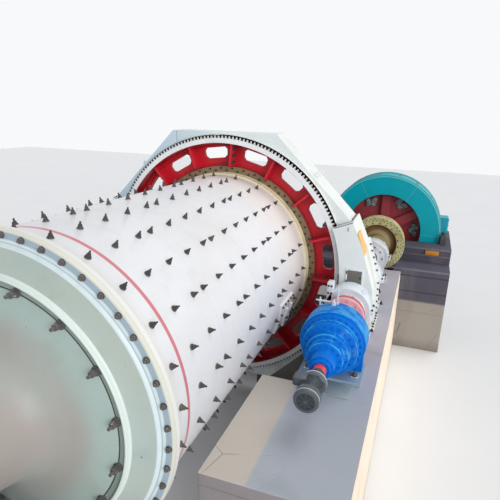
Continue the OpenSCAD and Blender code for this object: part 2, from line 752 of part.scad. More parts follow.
// Stepped casing of the reducer, small end first
reducer_outline = [
    [0, 0], [150, 0], [150, reducer_nose_len * 0.06], [185, reducer_nose_len * 0.06],
    [185, reducer_nose_len * 0.31], [275, reducer_nose_len * 0.34], [275, reducer_nose_len * 0.51],
    [335, reducer_nose_len * 0.53], [335, reducer_nose_len * 0.7], [reducer_r - 90, reducer_nose_len * 0.73],
    [reducer_r - 90, reducer_nose_len * 0.9], [reducer_r - 35, reducer_nose_len * 0.92],
    [reducer_r - 35, reducer_nose_len], [reducer_r, reducer_nose_len],
    [reducer_r, reducer_nose_len + reducer_case_len * 0.6],
    [reducer_r - 60, reducer_nose_len + reducer_case_len * 0.63],
    [reducer_r - 120, reducer_nose_len + reducer_case_len * 0.85],
    [reducer_r - 130, reducer_nose_len + reducer_case_len],
    [0, reducer_nose_len + reducer_case_len]
];

module reducer_body() {
    color([0.02, 0.38, 0.80]) union() {
        along(drive_x, reducer_nose_y0, drive_z) rotate_extrude() polygon(reducer_outline);
        along(drive_x, reducer_y1 - 1, drive_z) cylinder(h = coupling_y0 + coupling_half_len - reducer_y1, r = 99);
    }
}

// Saddle and feet under the reducer's largest casing
module reducer_foot() {
    foot_half = reducer_r - 20;
    foot_y0 = reducer_case_y0 - 100;
    foot_y1 = reducer_case_y0 + reducer_case_len * 0.8;
    color([0.02, 0.34, 0.72]) difference() {
        union() {
            block([drive_x - foot_half, foot_y0, plinth_z], [drive_x + foot_half, foot_y1, plinth_z + 70]);
            block([drive_x - foot_half + 30, reducer_case_y0 + reducer_case_len * 0.36, plinth_z + 70],
                  [drive_x + foot_half - 30, reducer_case_y0 + reducer_case_len * 0.6, drive_z - 150]);
        }
        ring(drive_x, foot_y0 - 50, drive_z, reducer_r + saddle_seat, 0, foot_y1 - foot_y0 + 100);
    }
}

module slow_drive_neck() {
    color([0.85, 0.20, 0.25]) ring(drive_x, reducer_nose_y0 - neck_len, drive_z, neck_r, 0, neck_len);
}

module slow_drive_adapter() {
    color([0.25, 0.27, 0.28]) along(drive_x, adapter_y0, drive_z) rotate_extrude() polygon([
        [0, 0], [small_motor_r, 0], [small_motor_r, 28], [adapter_r - 8, 60],
        [adapter_r - 8, adapter_len - 30], [adapter_r, adapter_len - 30], [adapter_r, adapter_len], [0, adapter_len]
    ]);
}

module slow_motor() {
    color([0.33, 0.37, 0.36]) union() {
        ring(drive_x, small_motor_y0 + cowl_len, drive_z, small_motor_r - 18, 0, small_motor_len - cowl_len);
        block([drive_x - small_motor_r - 80, adapter_y0 - 190, drive_z + small_motor_r * 0.1],
              [drive_x - small_motor_r * 0.45, adapter_y0 - 20, drive_z + small_motor_r * 0.85]);
    }
}

module slow_motor_cowl() {
    color([0.30, 0.34, 0.34]) ring(drive_x, small_motor_y0, drive_z, small_motor_r, 0, cowl_len);
}

// Driven drum of the clutch: a flanged ring, open towards the mill
module clutch_drum() {
    color([0.66, 0.62, 0.40]) along(drive_x, clutch_y0, drive_z) rotate_extrude() polygon([
        [clutch_r - 215, 0], [clutch_r, 0], [clutch_r, 70], [clutch_r - 60, 90], [clutch_r - 60, clutch_len - 60],
        [clutch_r - 20, clutch_len - 50], [clutch_r - 20, clutch_len], [clutch_r - 240, clutch_len],
        [clutch_r - 240, 150]
    ]);
}

// Spider of the clutch, from the shafts' ends out to the drum
module clutch_hub() {
    color([0.42, 0.30, 0.16]) along(drive_x, clutch_y0, drive_z) rotate_extrude() polygon([
        [pinion_shaft_r + seat, -60], [pinion_shaft_r + 80, -60], [pinion_shaft_r + 110, shaft_meet - 30],
        [clutch_r - 241, spider_y], [clutch_r - 241, spider_y + spider_t], [motor_shaft_r + 90, spider_y + spider_t],
        [motor_shaft_r + 90, clutch_len + 40], [motor_shaft_r + seat, clutch_len + 40],
        [motor_shaft_r + seat, shaft_meet + 10], [pinion_shaft_r + seat, shaft_meet - 10]
    ]);
}

module motor_shaft() {
    color([0.70, 0.70, 0.70])
        along(drive_x, clutch_y0 + shaft_meet + 30, drive_z)
            cylinder(h = motor_bearing_y1 + motor_bearing_len + 50 - clutch_y0 - shaft_meet, r = motor_shaft_r);
}

// Rotor: hub, closed disc with six arms on it, and a rim that carries the poles
module motor_rotor() {
    mid = (motor_y0 + motor_y1) / 2;
    rim_in = rotor_r - rotor_rim_t;
    hub_r = motor_shaft_r + 230;
    hub_len = rotor_len + 80;
    arm_w = 260;
    arm_len = rotor_len * 0.65;
    color([0.58, 0.14, 0.17]) union() {
        ring(drive_x, mid - rotor_len / 2, drive_z, rotor_r, rim_in, rotor_len);
        ring(drive_x, mid - rotor_disc_t / 2, drive_z, rim_in + 10, hub_r - 10, rotor_disc_t);
        ring(drive_x, mid - hub_len / 2, drive_z, hub_r, motor_shaft_r + seat, hub_len);
        for (i = [0 : 5])
            translate([drive_x, mid, drive_z]) rotate([0, i * 60 + 30, 0])
                block([hub_r - 20, -arm_len / 2, -arm_w / 2], [rim_in + 10, arm_len / 2, arm_w / 2]);
    }
}

module motor_frame() {
    color([0.0, 0.55, 0.58]) along(drive_x, motor_y0, drive_z) rotate_extrude() polygon([
        [motor_open_r, 0], [motor_r - 40, 0], [motor_r - 40, 30], [motor_r, 30], [motor_r, 110],
        [motor_r - 70, 130], [motor_r - 70, motor_len - 130], [motor_r, motor_len - 110],
        [motor_r, motor_len - 30], [motor_r - 40, motor_len - 30], [motor_r - 40, motor_len],
        [motor_open_r, motor_len], [motor_open_r, motor_len - motor_plate_t],
        [core_r, motor_len - 140], [core_r, 140], [motor_open_r, motor_plate_t]
    ]);
}

module motor_terminal_box() {
    color([0.0, 0.50, 0.54]) difference() {
        block([drive_x + motor_r - 200, motor_y0 + 250, motor_base_z + sole_h + 5],
              [drive_x + motor_r + 170, motor_y1 - 250, drive_z + 520]);
        ring(drive_x, motor_y0, drive_z, motor_r - 70 + seat, 0, motor_len);
    }
}

// Foot blocks that carry the motor frame over its pit
module motor_soles() {
    far = motor_r + sole_out;
    near = far - sole_w;
    color([0.26, 0.26, 0.29]) for (side = [-1, 1])
        difference() {
            block([drive_x + (side > 0 ? near : -far), motor_y0 - 160, motor_base_z],
                  [drive_x + (side > 0 ? far : -near), motor_y1 + 160, motor_base_z + sole_h]);
            ring(drive_x, motor_y0 - 200, drive_z, motor_r + seat, 0, motor_len + 400);
        }
}

module motor_bearing_near() {
    color([0.10, 0.30, 0.34])
        shaft_bearing(motor_bearing_y0, motor_shaft_r, 380, motor_bearing_len, 520);
}

module motor_bearing_far() {
    color([0.10, 0.30, 0.34])
        shaft_bearing(motor_bearing_y1, motor_shaft_r, 380, motor_bearing_len, 520);
}

feed_pier();
discharge_pier();
drive_plinth();
motor_plinth();
feed_bearing_base();
feed_bearing_cap();
discharge_bearing_base();
discharge_bearing_cap();
shell();
feed_head();
discharge_head();
feed_trunnion();
discharge_trunnion();
manhole_covers();
girth_gear();
gear_web();
gear_seal_ring();
guard_top();
guard_drive_side();
guard_left_side();
guard_sump();
guard_stand();
guard_hatch();
pinion();
pinion_shaft();
pinion_bearing_near();
pinion_bearing_far();
clutch_bearing();
pinion_coupling_half();
reducer_coupling_half();
reducer_body();
reducer_foot();
slow_drive_neck();
slow_drive_adapter();
slow_motor();
slow_motor_cowl();
clutch_drum();
clutch_hub();
motor_shaft();
motor_rotor();
motor_frame();
motor_terminal_box();
motor_bearing_near();
motor_bearing_far();
motor_soles();
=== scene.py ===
"""An overflow ball mill with its girth gear, guard, pinion line, slow drive, clutch and ring motor."""
import math
import random

import bmesh
import bpy
from mathutils import Matrix, Vector


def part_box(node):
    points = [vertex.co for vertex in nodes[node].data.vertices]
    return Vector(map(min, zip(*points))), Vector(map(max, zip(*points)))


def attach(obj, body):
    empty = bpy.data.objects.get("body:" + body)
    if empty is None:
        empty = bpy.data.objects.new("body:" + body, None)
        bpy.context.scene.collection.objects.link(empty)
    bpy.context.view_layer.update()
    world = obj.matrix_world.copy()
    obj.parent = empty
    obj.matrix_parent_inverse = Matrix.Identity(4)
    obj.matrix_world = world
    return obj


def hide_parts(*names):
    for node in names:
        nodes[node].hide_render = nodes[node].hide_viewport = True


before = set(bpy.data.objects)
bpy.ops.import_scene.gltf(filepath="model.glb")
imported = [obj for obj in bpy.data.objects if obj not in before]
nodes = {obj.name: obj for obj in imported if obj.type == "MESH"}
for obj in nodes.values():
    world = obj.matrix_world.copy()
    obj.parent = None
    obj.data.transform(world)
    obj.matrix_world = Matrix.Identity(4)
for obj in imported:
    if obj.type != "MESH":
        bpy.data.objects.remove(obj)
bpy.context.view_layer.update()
scene = bpy.context.scene
AXIS_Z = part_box("feed_bearing_base")[1].z

# Viewpoint, light and floor
# The mill is seen from the feed end's walkway, above the drive side.
# It stands on a plain pale floor in soft light that comes from above and from the drive side.
EYE = (3.9684, -1.8524, AXIS_Z + 3.1087)
HEADING, PITCH, ROLL = 19.047, -18.328, 1.489
FOCAL_PX, CENTRE_PX, FRAME_PX = 456.26, (263.83, 262.96), 500
lens = bpy.data.cameras.new("viewpoint")
lens.sensor_width = 36
lens.lens = 36 * FOCAL_PX / FRAME_PX
lens.shift_x = 0.5 - CENTRE_PX[0] / FRAME_PX
lens.shift_y = CENTRE_PX[1] / FRAME_PX - 0.5
lens.clip_end = 300
viewpoint = bpy.data.objects.new("viewpoint", lens)
turn = Matrix.Rotation(math.radians(HEADING), 4, "Z")
tip = Matrix.Rotation(math.radians(90 + PITCH), 4, "X")
viewpoint.matrix_world = Matrix.Translation(EYE) @ turn @ tip @ Matrix.Rotation(math.radians(ROLL), 4, "Z")
scene.collection.objects.link(viewpoint)
scene.camera = viewpoint
scene.view_settings.view_transform = "Standard"


def lamp(name, towards, strength, softness):
    """A distant lamp that shines towards a direction."""
    light = bpy.data.lights.new(name, "SUN")
    light.energy = strength
    light.angle = math.radians(softness)
    holder = bpy.data.objects.new(name, light)
    holder.rotation_mode = "QUATERNION"
    holder.rotation_quaternion = Vector(towards).to_track_quat("-Z", "Y")
    scene.collection.objects.link(holder)


lamp("high_windows", (-0.3, -0.3, -1.0), 0.85, 35)
lamp("drive_side", (-0.95, 0.8, -0.35), 1.8, 40)

sky = bpy.data.worlds.new("pale_room")
scene.world = sky
sky.use_nodes = True
sky_nodes = sky.node_tree.nodes
sky_nodes.clear()
sky_out = sky_nodes.new("ShaderNodeOutputWorld")
room = sky_nodes.new("ShaderNodeBackground")
room.inputs["Color"].default_value = (0.93, 0.96, 1.0, 1)
room.inputs["Strength"].default_value = 0.5
backdrop = sky_nodes.new("ShaderNodeBackground")
backdrop.inputs["Color"].default_value = (0.94, 0.95, 0.96, 1)
backdrop.inputs["Strength"].default_value = 1.0
ray = sky_nodes.new("ShaderNodeLightPath")
seen = sky_nodes.new("ShaderNodeMath")
seen.operation = "MAXIMUM"
either = sky_nodes.new("ShaderNodeMixShader")
sky.node_tree.links.new(ray.outputs["Is Camera Ray"], seen.inputs[0])
sky.node_tree.links.new(ray.outputs["Is Glossy Ray"], seen.inputs[1])
sky.node_tree.links.new(seen.outputs[0], either.inputs[0])
sky.node_tree.links.new(room.outputs[0], either.inputs[1])
sky.node_tree.links.new(backdrop.outputs[0], either.inputs[2])
sky.node_tree.links.new(either.outputs[0], sky_out.inputs["Surface"])


def srgb(red, green, blue):
    """A colour given as it looks, 0 to 255, as the shader's own linear values."""
    def linear(level):
        level /= 255
        return level / 12.92 if level <= 0.04045 else ((level + 0.055) / 1.055) ** 2.4
    return (linear(red), linear(green), linear(blue), 1)


def darker(colour, share):
    return tuple(share * level for level in colour[:3]) + (1,)


class Value:
    """A shader socket that can be used in sums."""

    def __init__(self, finish, socket):
        self.finish, self.socket = finish, socket

    def sum(self, operation, *others):
        return self.finish.node("ShaderNodeMath", {"operation": operation}, dict(enumerate((self,) + others)))

    def __add__(self, other):
        return self.sum("ADD", other)

    def __sub__(self, other):
        return self.sum("SUBTRACT", other)

    def __mul__(self, other):
        return self.sum("MULTIPLY", other)

    def __rsub__(self, other):
        return self.finish.node("ShaderNodeMath", {"operation": "SUBTRACT"}, {0: other, 1: self})

    def over(self, low, high):
        """0 below low, 1 above high, smooth between."""
        return self.finish.node("ShaderNodeMapRange", {"interpolation_type": "SMOOTHSTEP"},
                                {"Value": self, "From Min": low, "From Max": high})

    def band(self, low, high, edge=0.002):
        """1 between low and high, 0 outside."""
        return self.over(low - edge, low + edge) * (1 - self.over(high - edge, high + edge))


class Finish:
    """A material whose surface varies with the place on the object."""

    def __init__(self, name):
        self.material = bpy.data.materials.new(name)
        self.material.use_nodes = True
        self.tree = self.material.node_tree
        self.tree.nodes.clear()
        self.place = self.node("ShaderNodeTexCoord", out="Object")
        self.facing = self.node("ShaderNodeNewGeometry", out="Normal")

    def node(self, kind, settings=None, sockets=None, out=0):
        node = self.tree.nodes.new(kind)
        for key, value in (settings or {}).items():
            setattr(node, key, value)
        for key, value in (sockets or {}).items():
            if isinstance(value, Value):
                self.tree.links.new(value.socket, node.inputs[key])
            else:
                node.inputs[key].default_value = value
        return Value(self, node.outputs[out]) if node.outputs else None

    def mix(self, amount, first, second):
        return self.node("ShaderNodeMix", {"data_type": "RGBA"}, {0: amount, 6: first, 7: second}, out=2)

    def tint(self, result, *layers):
        """Lays colours over one another, each as far as its amount says."""
        for amount, colour in layers:
            result = self.mix(amount, result, colour)
        return result

    def split(self, vector):
        return [self.node("ShaderNodeSeparateXYZ", {}, {0: vector}, out=axis) for axis in "XYZ"]

    def moved(self, stretch=(1, 1, 1), shift=(0, 0, 0)):
        return self.node("ShaderNodeMapping", {}, {"Vector": self.place, "Location": shift, "Scale": stretch})

    def noise(self, scale, detail=3, stretch=(1, 1, 1), rough=0.55, shift=(0, 0, 0)):
        return self.node("ShaderNodeTexNoise", {}, {"Vector": self.moved(stretch, shift), "Scale": scale,
                                                    "Detail": detail, "Roughness": rough})

    def cells(self, scale, feature="F1"):
        return self.node("ShaderNodeTexVoronoi", {"feature": feature},
                         {"Vector": self.place, "Scale": scale}, out="Distance")

    def radius(self, axis):
        """Distance from an axis along the mill."""
        flat = self.node("ShaderNodeVectorMath", {"operation": "MULTIPLY_ADD"},
                         {0: self.place, 1: (1, 0, 1), 2: (-axis[0], 0, -axis[1])})
        return self.node("ShaderNodeVectorMath", {"operation": "LENGTH"}, {0: flat}, out="Value")

    def close(self, colour, roughness, metallic=0.0, height=None, depth=0.002, gloss=0.5):
        """Ends the material with its surface and hands it over."""
        sockets = {"Base Color": colour, "Roughness": roughness, "Metallic": metallic,
                   "Specular IOR Level": gloss}
        if height is not None:
            bump = {"Strength": 0.6, "Distance": depth, "Height": height}
            sockets["Normal"] = self.node("ShaderNodeBump", {}, bump)
        surface = self.node("ShaderNodeBsdfPrincipled", {}, sockets)
        self.node("ShaderNodeOutputMaterial", {}, {"Surface": surface})
        return self.material


floor_finish = Finish("pale_floor")
floor_colour = floor_finish.mix(floor_finish.noise(0.4), srgb(236, 237, 238), srgb(243, 243, 243))
bm = bmesh.new()
bmesh.ops.create_grid(bm, x_segments=1, y_segments=1, size=60)
floor_mesh = bpy.data.meshes.new("floor")
bm.to_mesh(floor_mesh)
bm.free()
floor = bpy.data.objects.new("floor", floor_mesh)
floor_mesh.materials.append(floor_finish.close(floor_colour, 0.9))
scene.collection.objects.link(floor)

# Foundations
# Cast concrete blocks carry the bearings, the drive line and the motor, and anchor bolts stand in their tops.
# Their tops are painted, the drive block's outer side is cream with painted daylight, and the motor's base is
# dark with ledges.
BLOCK_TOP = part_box("feed_pier")[1].z
DRIVE_X = sum(corner.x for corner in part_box("clutch_drum")) / 2
DRIVE_Z = sum(corner.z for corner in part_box("clutch_drum")) / 2
DRUM_AXIS, DRIVE_AXIS = (0, AXIS_Z), (DRIVE_X, DRIVE_Z)
FLOOR_DARKENING_TOP = 0.4


def finish_node(name, material, rounding=0.0, segments=2):
    """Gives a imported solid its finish, and rounds its sharp edges a little."""
    solid = nodes[name]
    solid.data.materials.clear()
    solid.data.materials.append(material)
    if rounding:
        weld = solid.modifiers.new("weld", "WELD")
        weld.merge_threshold = 1e-5
        bevel = solid.modifiers.new("edges", "BEVEL")
        bevel.width = rounding
        bevel.segments = segments
        bevel.limit_method = "ANGLE"
        bevel.angle_limit = math.radians(40)


def concrete(name, top, side, tinted=None):
    """Cast concrete with a painted top and stained sides. tinted adds what only one block has."""
    cast = Finish(name)
    _, _, z = cast.split(cast.place)
    _, _, up = cast.split(cast.facing)
    level = up.over(0.6, 0.8)
    blotch = cast.noise(1.1, 5).over(0.35, 0.72)
    grain = cast.noise(28, 4)
    lift = (z * (1 / 1.16)).sum("FRACT").band(0.0, 0.012, 0.004)
    drip = cast.noise(2.4, 4, (1, 1, 0.12)).over(0.5, 0.78)
    oil = cast.noise(0.9, 5, shift=(3, 1, 0)).over(0.57, 0.72)
    worn_side = cast.tint(side, (blotch * 0.45, darker(side, 0.74)), (drip * 0.3, srgb(96, 90, 84)))
    worn_top = cast.tint(top, (blotch * 0.4, darker(top, 0.82)), (oil * 0.4, srgb(98, 92, 92)))
    colour = cast.mix(level, worn_side, worn_top)
    if tinted:
        colour = tinted(cast, colour, blotch, drip)
    crack = 1 - cast.cells(0.8, "DISTANCE_TO_EDGE").over(0.002, 0.007)
    # Every block is painted darker towards the floor, up to FLOOR_DARKENING_TOP above it.
    colour = cast.tint(colour, ((1 - z.over(0, FLOOR_DARKENING_TOP)) * 0.4, srgb(110, 101, 90)),
                       (lift * (1 - level) * 0.4, srgb(80, 76, 74)),
                       (crack * cast.noise(0.5).over(0.5, 0.6) * 0.5, srgb(70, 66, 64)))
    height = grain * 0.5 + cast.cells(9).over(0.0, 0.25) * 0.3 - lift * 0.8 - crack * 0.4
    return cast.close(colour, grain * 0.2 + 0.68, height=height, depth=0.006)


def drive_block(cast, colour, blotch, drip):
    """Cream outer side lit with painted warm daylight, pale beige on the broad part's top, and a cooler tone
    by the slow drive.
    """
    x, y, _ = cast.split(cast.place)
    across, _, up = cast.split(cast.facing)
    level, outer = up.over(0.6, 0.8), x.over(2.42, 2.5)
    # The outer side's cream is paint with warm daylight painted into it.
    sunlit_cream = cast.tint(srgb(252, 236, 216), (blotch * 0.5, srgb(226, 204, 178)),
                      (drip * 0.35, srgb(176, 152, 128)))
    return cast.tint(colour, (level * (1 - outer) * 0.85, srgb(196, 187, 172)),
                     (level * outer * (1 - y.over(4.2, 5.6)) * 0.6, srgb(164, 176, 182)),
                     (across.over(0.6, 0.8), sunlit_cream))


def motor_block(cast, colour, blotch, drip):
    """Dark painted upper part with bands, over plain pale concrete."""
    _, _, z = cast.split(cast.place)
    lines = z.band(AXIS_Z - 1.25, AXIS_Z - 1.22, 0.004) + z.band(AXIS_Z - 1.72, AXIS_Z - 1.69, 0.004)
    dark = cast.tint(srgb(80, 78, 92), (blotch * 0.6, srgb(58, 56, 68)), (drip * 0.5, srgb(112, 106, 112)),
                     (lines * 0.8, srgb(34, 32, 38)))
    return cast.mix(z.over(AXIS_Z - 2.04, AXIS_Z - 1.96), colour, dark)


plinth_finish = concrete("plinth_concrete", srgb(180, 175, 184), srgb(150, 143, 144), drive_block)
pier_finish = concrete("pier_concrete", srgb(176, 172, 172), srgb(165, 160, 156))
motor_pit_finish = concrete("motor_concrete", srgb(124, 116, 128), srgb(152, 146, 138), motor_block)
for name, finish in (("drive_plinth", plinth_finish), ("feed_pier", pier_finish),
                     ("discharge_pier", pier_finish), ("motor_plinth", motor_pit_finish)):
    finish_node(name, finish, 0.014)


def painted(name, colour, soil, rough=0.38, soil_amount=0.5, chips=0.0, chip_colour=None, drips=True,
            gloss=0.5, layers=None):
    """Brushed or sprayed machine paint: uneven tone, dirt in streaks, small chips and fine orange peel."""
    coat_of = Finish(name)
    tone = coat_of.noise(0.9, 4).over(0.3, 0.75)
    fine = coat_of.noise(60, 3)
    run = coat_of.noise(2.2, 5, (1, 1, 0.2 if drips else 1)).over(0.48, 0.8)
    spots = coat_of.noise(14, 4).over(0.60, 0.74)
    result = coat_of.tint(colour, (tone * 0.5, darker(colour, 0.88)), (run * soil_amount, soil),
                          (spots * soil_amount * 0.5, soil))
    height = fine * 0.35
    roughness = tone * 0.12 + run * 0.2 + rough
    if chips:
        bare = coat_of.noise(9, 6, rough=0.7).over(0.70 - chips * 0.1, 0.72 - chips * 0.1)
        result = coat_of.mix(bare, result, chip_colour or srgb(96, 70, 54))
        height = height - bare * 0.8
    if layers:
        result, roughness = layers(coat_of, result, roughness)
    return coat_of.close(result, roughness, height=height, depth=0.0012, gloss=gloss)


def post(bm, where, low, high, radius, top_radius=None, sides=6):
    """A round or many-sided post between two heights of a placing matrix."""
    spot = where @ Matrix.Translation((0, 0, (low + high) / 2))
    bmesh.ops.create_cone(bm, cap_ends=True, cap_tris=False, segments=sides, radius1=radius,
                          radius2=radius if top_radius is None else top_radius, depth=high - low, matrix=spot)


def aim(place, towards):
    """A placing matrix whose Z axis points towards a direction."""
    spin = Vector((0, 0, 1)).rotation_difference(Vector(towards).normalized())
    return Matrix.Translation(place) @ spin.to_matrix().to_4x4()


def hex_bolt(bm, place, towards, size, stud=0.6):
    """A nut on a washer with the stud's end standing out. size is the thread's diameter."""
    where = aim(place, towards)
    base = size * 0.16
    post(bm, where, -size * 0.1, base, size * 1.15, sides=12)
    post(bm, where, base, base + size * 0.8, size * 0.92)
    if stud:
        post(bm, where, base + size * 0.8, base + size * (0.8 + stud), size * 0.5, size * 0.42, sides=8)


def ring_bolts(bm, axis, y, reach, count, size, way, first=0.0, stud=0.6):
    """Like bolts on a circle round an axis along the mill, their heads towards way."""
    for number in range(count):
        angle = math.radians(first + number * 360 / count)
        place = (axis[0] + reach * math.sin(angle), y, axis[1] + reach * math.cos(angle))
        hex_bolt(bm, place, (0, way, 0), size, stud)


def slab(bm, low, high, bevel=0.0, place=None):
    """A box between two corners, with its edges rounded by bevel, and set by a placing matrix."""
    low, high = Vector(low), Vector(high)
    made = bmesh.ops.create_cube(bm, size=1)["verts"]
    bmesh.ops.scale(bm, vec=high - low, verts=made)
    bmesh.ops.translate(bm, vec=(low + high) / 2, verts=made)
    if place:
        bmesh.ops.transform(bm, matrix=place, verts=made)
    if bevel:
        edges = list({edge for vert in made for edge in vert.link_edges})
        bmesh.ops.bevel(bm, geom=edges, offset=bevel, offset_type="OFFSET", segments=2, profile=0.5,
                        affect="EDGES", material=-1)


def swung(degrees):
    """A placing matrix that swings a shape round the drive line, from straight above it."""
    return Matrix.Translation((DRIVE_X, 0, DRIVE_Z)) @ Matrix.Rotation(math.radians(degrees), 4, "Y")


def turned(bm, outline, axis, steps, start=0.0, way=1):
    """A shape turned round an axis along the mill, its outline given as radius and reach towards way."""
    before = set(bm.verts)
    points = [bm.verts.new((axis[0] + radius, start + way * reach, axis[1])) for radius, reach in outline]
    edges = [bm.edges.new(pair) for pair in zip(points, points[1:] + points[:1])]
    bmesh.ops.spin(bm, geom=points + edges, cent=(axis[0], 0, axis[1]), axis=(0, 1, 0), angle=math.tau,
                   steps=steps, use_merge=True)
    made = [vert for vert in bm.verts if vert not in before]
    bmesh.ops.remove_doubles(bm, verts=made, dist=1e-5)
    faces = {face for vert in made if vert.is_valid for face in vert.link_faces}
    bmesh.ops.recalc_face_normals(bm, faces=list(faces))


def lifting_ring(bm, place, towards, size, wire, through=(0, 1, 0)):
    """A lifting ring on a short collar: size is the ring's radius, through is the way its hole looks."""
    up = Vector(towards).normalized()
    post(bm, aim(place, up), -0.01, size * 0.5, wire * 1.7, wire * 1.2, sides=12)
    centre = Vector(place) + up * (size * 1.25)
    place = aim(centre + up * size, up.cross(Vector(through)))
    start = bmesh.ops.create_circle(bm, segments=8, radius=wire, matrix=place)["verts"]
    edges = list({edge for vert in start for edge in vert.link_edges})
    bmesh.ops.spin(bm, geom=start + edges, cent=centre, axis=through, angle=math.tau, steps=20,
                   use_merge=True)


SHARP = math.radians(32)


def piece(name, bm, body, material, replaced=()):
    """Makes the shape an object that rides on a body and shows smooth where it is round."""
    for face in bm.faces:
        face.smooth = True
    for edge in bm.edges:
        edge.smooth = len(edge.link_faces) == 2 and edge.calc_face_angle(0) < SHARP
    mesh = bpy.data.meshes.new(name)
    bm.to_mesh(mesh)
    bm.free()
    made = bpy.data.objects.new(name, mesh)
    mesh.materials.append(material)
    scene.collection.objects.link(made)
    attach(made, body)
    if replaced:
        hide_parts(*replaced)
    return made


nut_finish = painted("dark_nuts", srgb(58, 54, 52), srgb(104, 82, 62), 0.5, 0.7)


def nut_piece(name, bm, body="foundation"):
    """A piece of dark nuts and other small steel that rides on a body."""
    piece(name, bm, body, nut_finish)


ANCHORS = ((3.38, 8.14), (3.244, 8.15), (3.27, 8.35), (3.26, 8.88), (2.7, 8.9))
bm = bmesh.new()
for x, y in ANCHORS:
    hex_bolt(bm, (x, y, BLOCK_TOP), (0, 0, 1), 0.036, stud=1.2)
nut_piece("anchor_bolts", bm)

base_low, base_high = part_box("motor_plinth")
BASE_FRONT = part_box("clutch_drum")[1].y + 0.53
BASE_HALF, PIT_HALF = 2.05, 0.62
BASE_LEFT, BASE_RIGHT = DRIVE_X - BASE_HALF, DRIVE_X + BASE_HALF
bm = bmesh.new()
for low_x, high_x in ((BASE_LEFT, DRIVE_X - PIT_HALF), (DRIVE_X + PIT_HALF, BASE_RIGHT)):
    for out, low_z, high_z in ((0.03, 0.05, 0.004), (0.022, 0.24, 0.20)):
        slab(bm, (low_x, BASE_FRONT - out, base_high.z - low_z),
             (high_x, BASE_FRONT + 0.01, base_high.z - high_z), 0.006)
slab(bm, (BASE_LEFT, base_low.y - 0.004, AXIS_Z - 1.08),
     (BASE_RIGHT - 0.004, base_low.y + 0.05, AXIS_Z - 1.02), 0.002)
slab(bm, (BASE_RIGHT - 0.02, base_low.y, AXIS_Z - 1.5),
     (BASE_RIGHT - 0.0005, base_high.y - 0.1, AXIS_Z - 1.44), 0.003)
ledge_finish = painted("ledge_paint", srgb(104, 98, 112), srgb(60, 56, 62), 0.5, 0.6, 0.4, srgb(120, 84, 62))
piece("motor_base_ledges", bm, "foundation", ledge_finish)
bm = bmesh.new()
slab(bm, (4.24, BASE_FRONT - 0.045, AXIS_Z - 0.775), (4.62, BASE_FRONT - 0.002, AXIS_Z - 0.635), 0.02)
orange_finish = painted("orange_paint", srgb(198, 128, 40), srgb(120, 82, 40), 0.5, 0.5, 0.4,
                        srgb(90, 66, 44))
piece("orange_cover", bm, "foundation", orange_finish)

# Main bearings
# Cast iron housings of the two trunnions, a base and a cap bolted at the mill's centre line.
# A seal ring closes each end round the trunnion, and they are painted pale grey-green like the drum's heads.
bearing_finish = painted("bearing_paint", srgb(203, 211, 207), srgb(120, 112, 98), 0.36, 0.5, 0.35)
for name in ("feed_bearing_base", "feed_bearing_cap", "discharge_bearing_base", "discharge_bearing_cap"):
    finish_node(name, bearing_finish, 0.012)
for end in ("feed", "discharge"):
    low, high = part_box(end + "_bearing_base")
    cap_low, cap_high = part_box(end + "_bearing_cap")
    middle = (low.y + high.y) / 2
    half = (cap_high.y - cap_low.y) / 2
    bm, trim = bmesh.new(), bmesh.new()
    for side in (-1, 1):
        for along in (-0.2, 0.2):
            hex_bolt(bm, (side * (high.x - 0.035), middle + along, low.z + 0.12), (0, 0, 1), 0.032)
        for along in (-0.15, 0.0, 0.15):
            hex_bolt(bm, (side * (cap_high.x + 0.03), middle + along, AXIS_Z + 0.04), (0, 0, 1), 0.026)
            hex_bolt(bm, (side * (cap_high.x + 0.03), middle + along, AXIS_Z - 0.04), (0, 0, -1), 0.026)
        wide = sorted((side * (cap_high.x - 0.01), side * (cap_high.x + 0.066)))
        slab(trim, (wide[0], middle - half, AXIS_Z - 0.04), (wide[1], middle + half, AXIS_Z - 0.002), 0.006)
        slab(trim, (wide[0], middle - half, AXIS_Z + 0.002), (wide[1], middle + half, AXIS_Z + 0.04), 0.006)
        for along in (-0.18, 0.0, 0.18):
            slab(trim, (side * 0.72 - 0.02, middle + along - 0.014, low.z + 0.1),
                 (side * 0.72 + 0.15 * side + 0.02, middle + along + 0.014, low.z + 0.3), 0.004)
    for face in (-1, 1):
        ring_bolts(bm, DRUM_AXIS, middle + face * (half + 0.024), 0.72, 12, 0.022, face, 15)
        turned(trim, [(0.615, -0.004), (0.76, -0.004), (0.76, 0.018), (0.754, 0.024), (0.625, 0.024),
                      (0.615, 0.014)], DRUM_AXIS, 96, middle + face * half, face)
    for along in (-0.12, 0.12):
        lifting_ring(bm, (0, middle + along, cap_high.z), (0, 0, 1), 0.045, 0.012)
    nut_piece(end + "_bearing_bolts", bm)
    piece(end + "_bearing_trim", trim, "foundation", bearing_finish)

# Drum shell
# Rolled and welded steel plate with a bolted flange at each end, painted white.
# A red band is painted round it near the feed end, and dust lies in the paint.
shell_low, shell_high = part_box("shell")
SHELL_R, SHELL_T, FLANGE_T = 1.84, 0.045, 0.06
FEED_FLANGE_R, GEAR_FLANGE_R = 1.96, 2.005
Y0, Y1 = shell_low.y, shell_high.y
RED_BAND = 1.917


